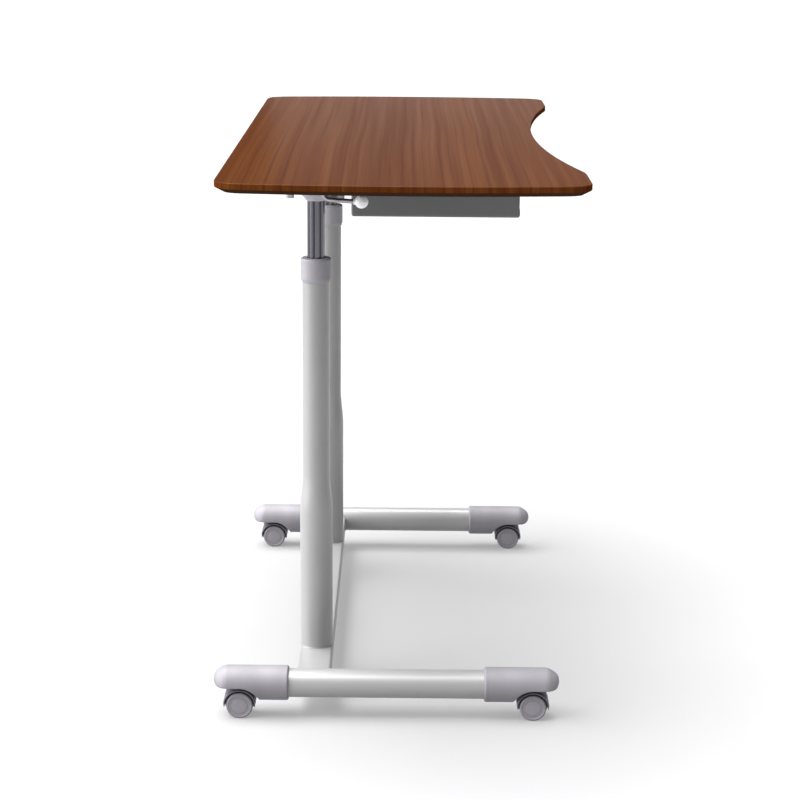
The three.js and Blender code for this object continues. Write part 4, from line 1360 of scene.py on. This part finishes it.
def ball_knob():
    knob = Span("ball_knob")
    radius = knob.size.y / 2
    start = math.acos(KNOB_NECK / radius)
    bore = HANDLE_RADIUS + FIT_GAP
    foot = -radius - KNOB_NECK_LENGTH
    profile = [(0.2, -5), (bore, -5), (bore, foot)]
    profile.extend(rounded([
        ((bore, foot), 0),
        ((KNOB_NECK, foot), 0.4),
        ((KNOB_NECK, -radius * math.sin(start)), 0),
    ])[1:])
    for share in shares(40)[1:-1]:
        angle = -start + share * (start + math.pi / 2)
        profile.append((radius * math.cos(angle), radius * math.sin(angle)))
    profile.append((0.2, radius))
    detailed("ball_knob", turned(profile, 64).moved(at(*knob.middle) @ TO_X), crease=50)


def lever_bracket():
    """The plate on the near arm that the shaft comes out through. Its screw stops the lever."""
    plate = Span("lever_bracket")
    screw = Span("stop_screw")
    axis = shaft_axis()
    tab_left = axis.x - BRACKET_TAB
    outline = rounded([
        ((plate.low.x, plate.high.z), 2),
        ((plate.low.x, axis.z - BRACKET_SHOULDER), 4),
        ((tab_left, axis.z - BRACKET_STEP), 2),
        ((tab_left, plate.low.z), 3),
        ((plate.high.x, plate.low.z), 3),
        ((plate.high.x, plate.high.z), 2),
    ], closed=True)
    surface = prism(outline, -plate.high.y, -plate.low.y, 0.5).moved(UPRIGHT)
    shaft_hole = cylinder(SHAFT_HOLE, -400, 400).moved(at(axis.x, 0, axis.z) @ TO_Y)
    detailed("lever_bracket", carved(surface, [shaft_hole]))
    head = screw.size.x / 2
    height = plate.low.y - screw.low.y
    profile = rounded([
        ((STOP_SCREW_RADIUS, -plate.size.y), 0),
        ((STOP_SCREW_RADIUS, FIT_GAP), 0),
        ((head, FIT_GAP), 0.4),
        ((head, height - 1.2), 1.5),
        ((head - 1.6, height), 1.5),
        ((0.4, height), 0),
    ])
    socket = hex_socket(STOP_SCREW_KEY, height - 2, height + 1)
    place = at(screw.middle.x, plate.low.y, screw.middle.z) @ UPRIGHT
    detailed("stop_screw", carved(turned(profile, 48), [socket]).moved(place))


# ---------------------------------------------------------------- the table

HIDDEN_SHAPES = ("guide_sleeve", "gas_cylinder", "glide_bush", "piston_rod", "rod_nut", "release_pin")

for end in ENDS:
    foot_tube(end)
    column(end)
    inner_tube(end)
    collar(end)
    base_nut(end)
    flange(end)
    support_arm(end)
    for hidden in HIDDEN_SHAPES:
        keep_shape(f"{hidden}_{end}")
foot_caps()
casters()
crossbar()
cross_rail()
storage_tray()
release_shaft()
shaft_bushes()
ball_knob()
lever_bracket()
table_top()


# ---------------------------------------------------------------- floor, light and camera

def floor():
    reach = 15                     # metres
    corners = [(x, y, 0) for x, y in ((-reach, -reach), (reach, -reach), (reach, reach), (-reach, reach))]
    mesh = bpy.data.meshes.new("floor")
    mesh.from_pydata(corners, [], [(0, 1, 2, 3)])
    mesh.materials.append(pale_floor())
    new_object("floor", mesh)


def light(name, kind, energy, place, target, **settings):
    """A lamp at a place in metres, aimed at a target."""
    data = bpy.data.lights.new(name, kind)
    data.energy = energy
    for setting, value in settings.items():
        setattr(data, setting, value)
    lamp = new_object(name, data)
    lamp.location = place
    lamp.rotation_euler = (Vector(target) - Vector(place)).to_track_quat("-Z", "Y").to_euler()


def room():
    """A white room. It is lit from the left, from above and a little from the camera's side."""
    world = bpy.data.worlds.new("room")
    world.use_nodes = True
    bpy.context.scene.world = world
    tree = world.node_tree
    direction = add_node(tree, "TexCoord", {}, "Generated")
    sides = (
        ((-0.93, -0.10, 0.36), 0.4, 1.0, 0.04, 1.2),
        ((0, 0, 1), 0.5, 1.0, 0, 2),
        ((-0.1, -0.98, 0.15), 0.3, 0.9, 0, 0.35),
    )
    total = 0
    for towards, start, end, low, high in sides:
        inputs = {0: direction, 1: towards}
        facing = add_node(tree, "VectorMath", inputs, "Value", operation="DOT_PRODUCT")
        inputs = {0: facing, 1: start, 2: end, 3: low, 4: high}
        strength = add_node(tree, "MapRange", inputs, interpolation_type="SMOOTHSTEP")
        total = add_node(tree, "Math", {0: total, 1: strength}, operation="ADD")
    seen = add_node(tree, "LightPath", {}, "Is Camera Ray")
    backdrop = 1.1                 # just past white
    strength = add_node(tree, "Mix", {0: seen, 2: total, 3: backdrop}, data_type="FLOAT")
    background = tree.nodes["Background"].inputs
    tree.links.new(strength, background["Strength"])
    background["Color"].default_value = (1, 1, 1, 1)


def lighting():
    """Soft lamps overhead and to the left, and a weak panel behind that the board's top mirrors."""
    middle = (0, 0, 0)
    light("overhead", "SUN", 8.5, (-0.2, 0.05, 1), middle, angle=math.radians(50))
    light("side", "SUN", 4.8, (-0.9, -0.1, 0.42), middle, angle=math.radians(60))
    panel = {"shape": "RECTANGLE", "size": 1.7, "size_y": 0.3}
    light("backdrop", "AREA", 2.0, (0.45, 3, 0.95), (0.45, 0, 0.95), **panel)
    room()


def camera():
    """The photo's view, fitted to the table's feet, columns and board. Its place is in metres."""
    data = bpy.data.cameras.new("camera")
    data.lens = 92.7
    data.sensor_width = 36
    data.clip_end = 100
    shot = new_object("camera", data)
    turn = Matrix.Rotation(math.radians(0.14), 4, "Z")
    tilt = Matrix.Rotation(math.radians(75.93), 4, "X")
    roll = Matrix.Rotation(math.radians(0.49), 4, "Z")
    shot.matrix_world = at(0.0162, -3.2888, 1.2086) @ turn @ tilt @ roll
    bpy.context.scene.camera = shot


floor()
lighting()
camera()
bpy.context.scene.view_settings.view_transform = "Standard"
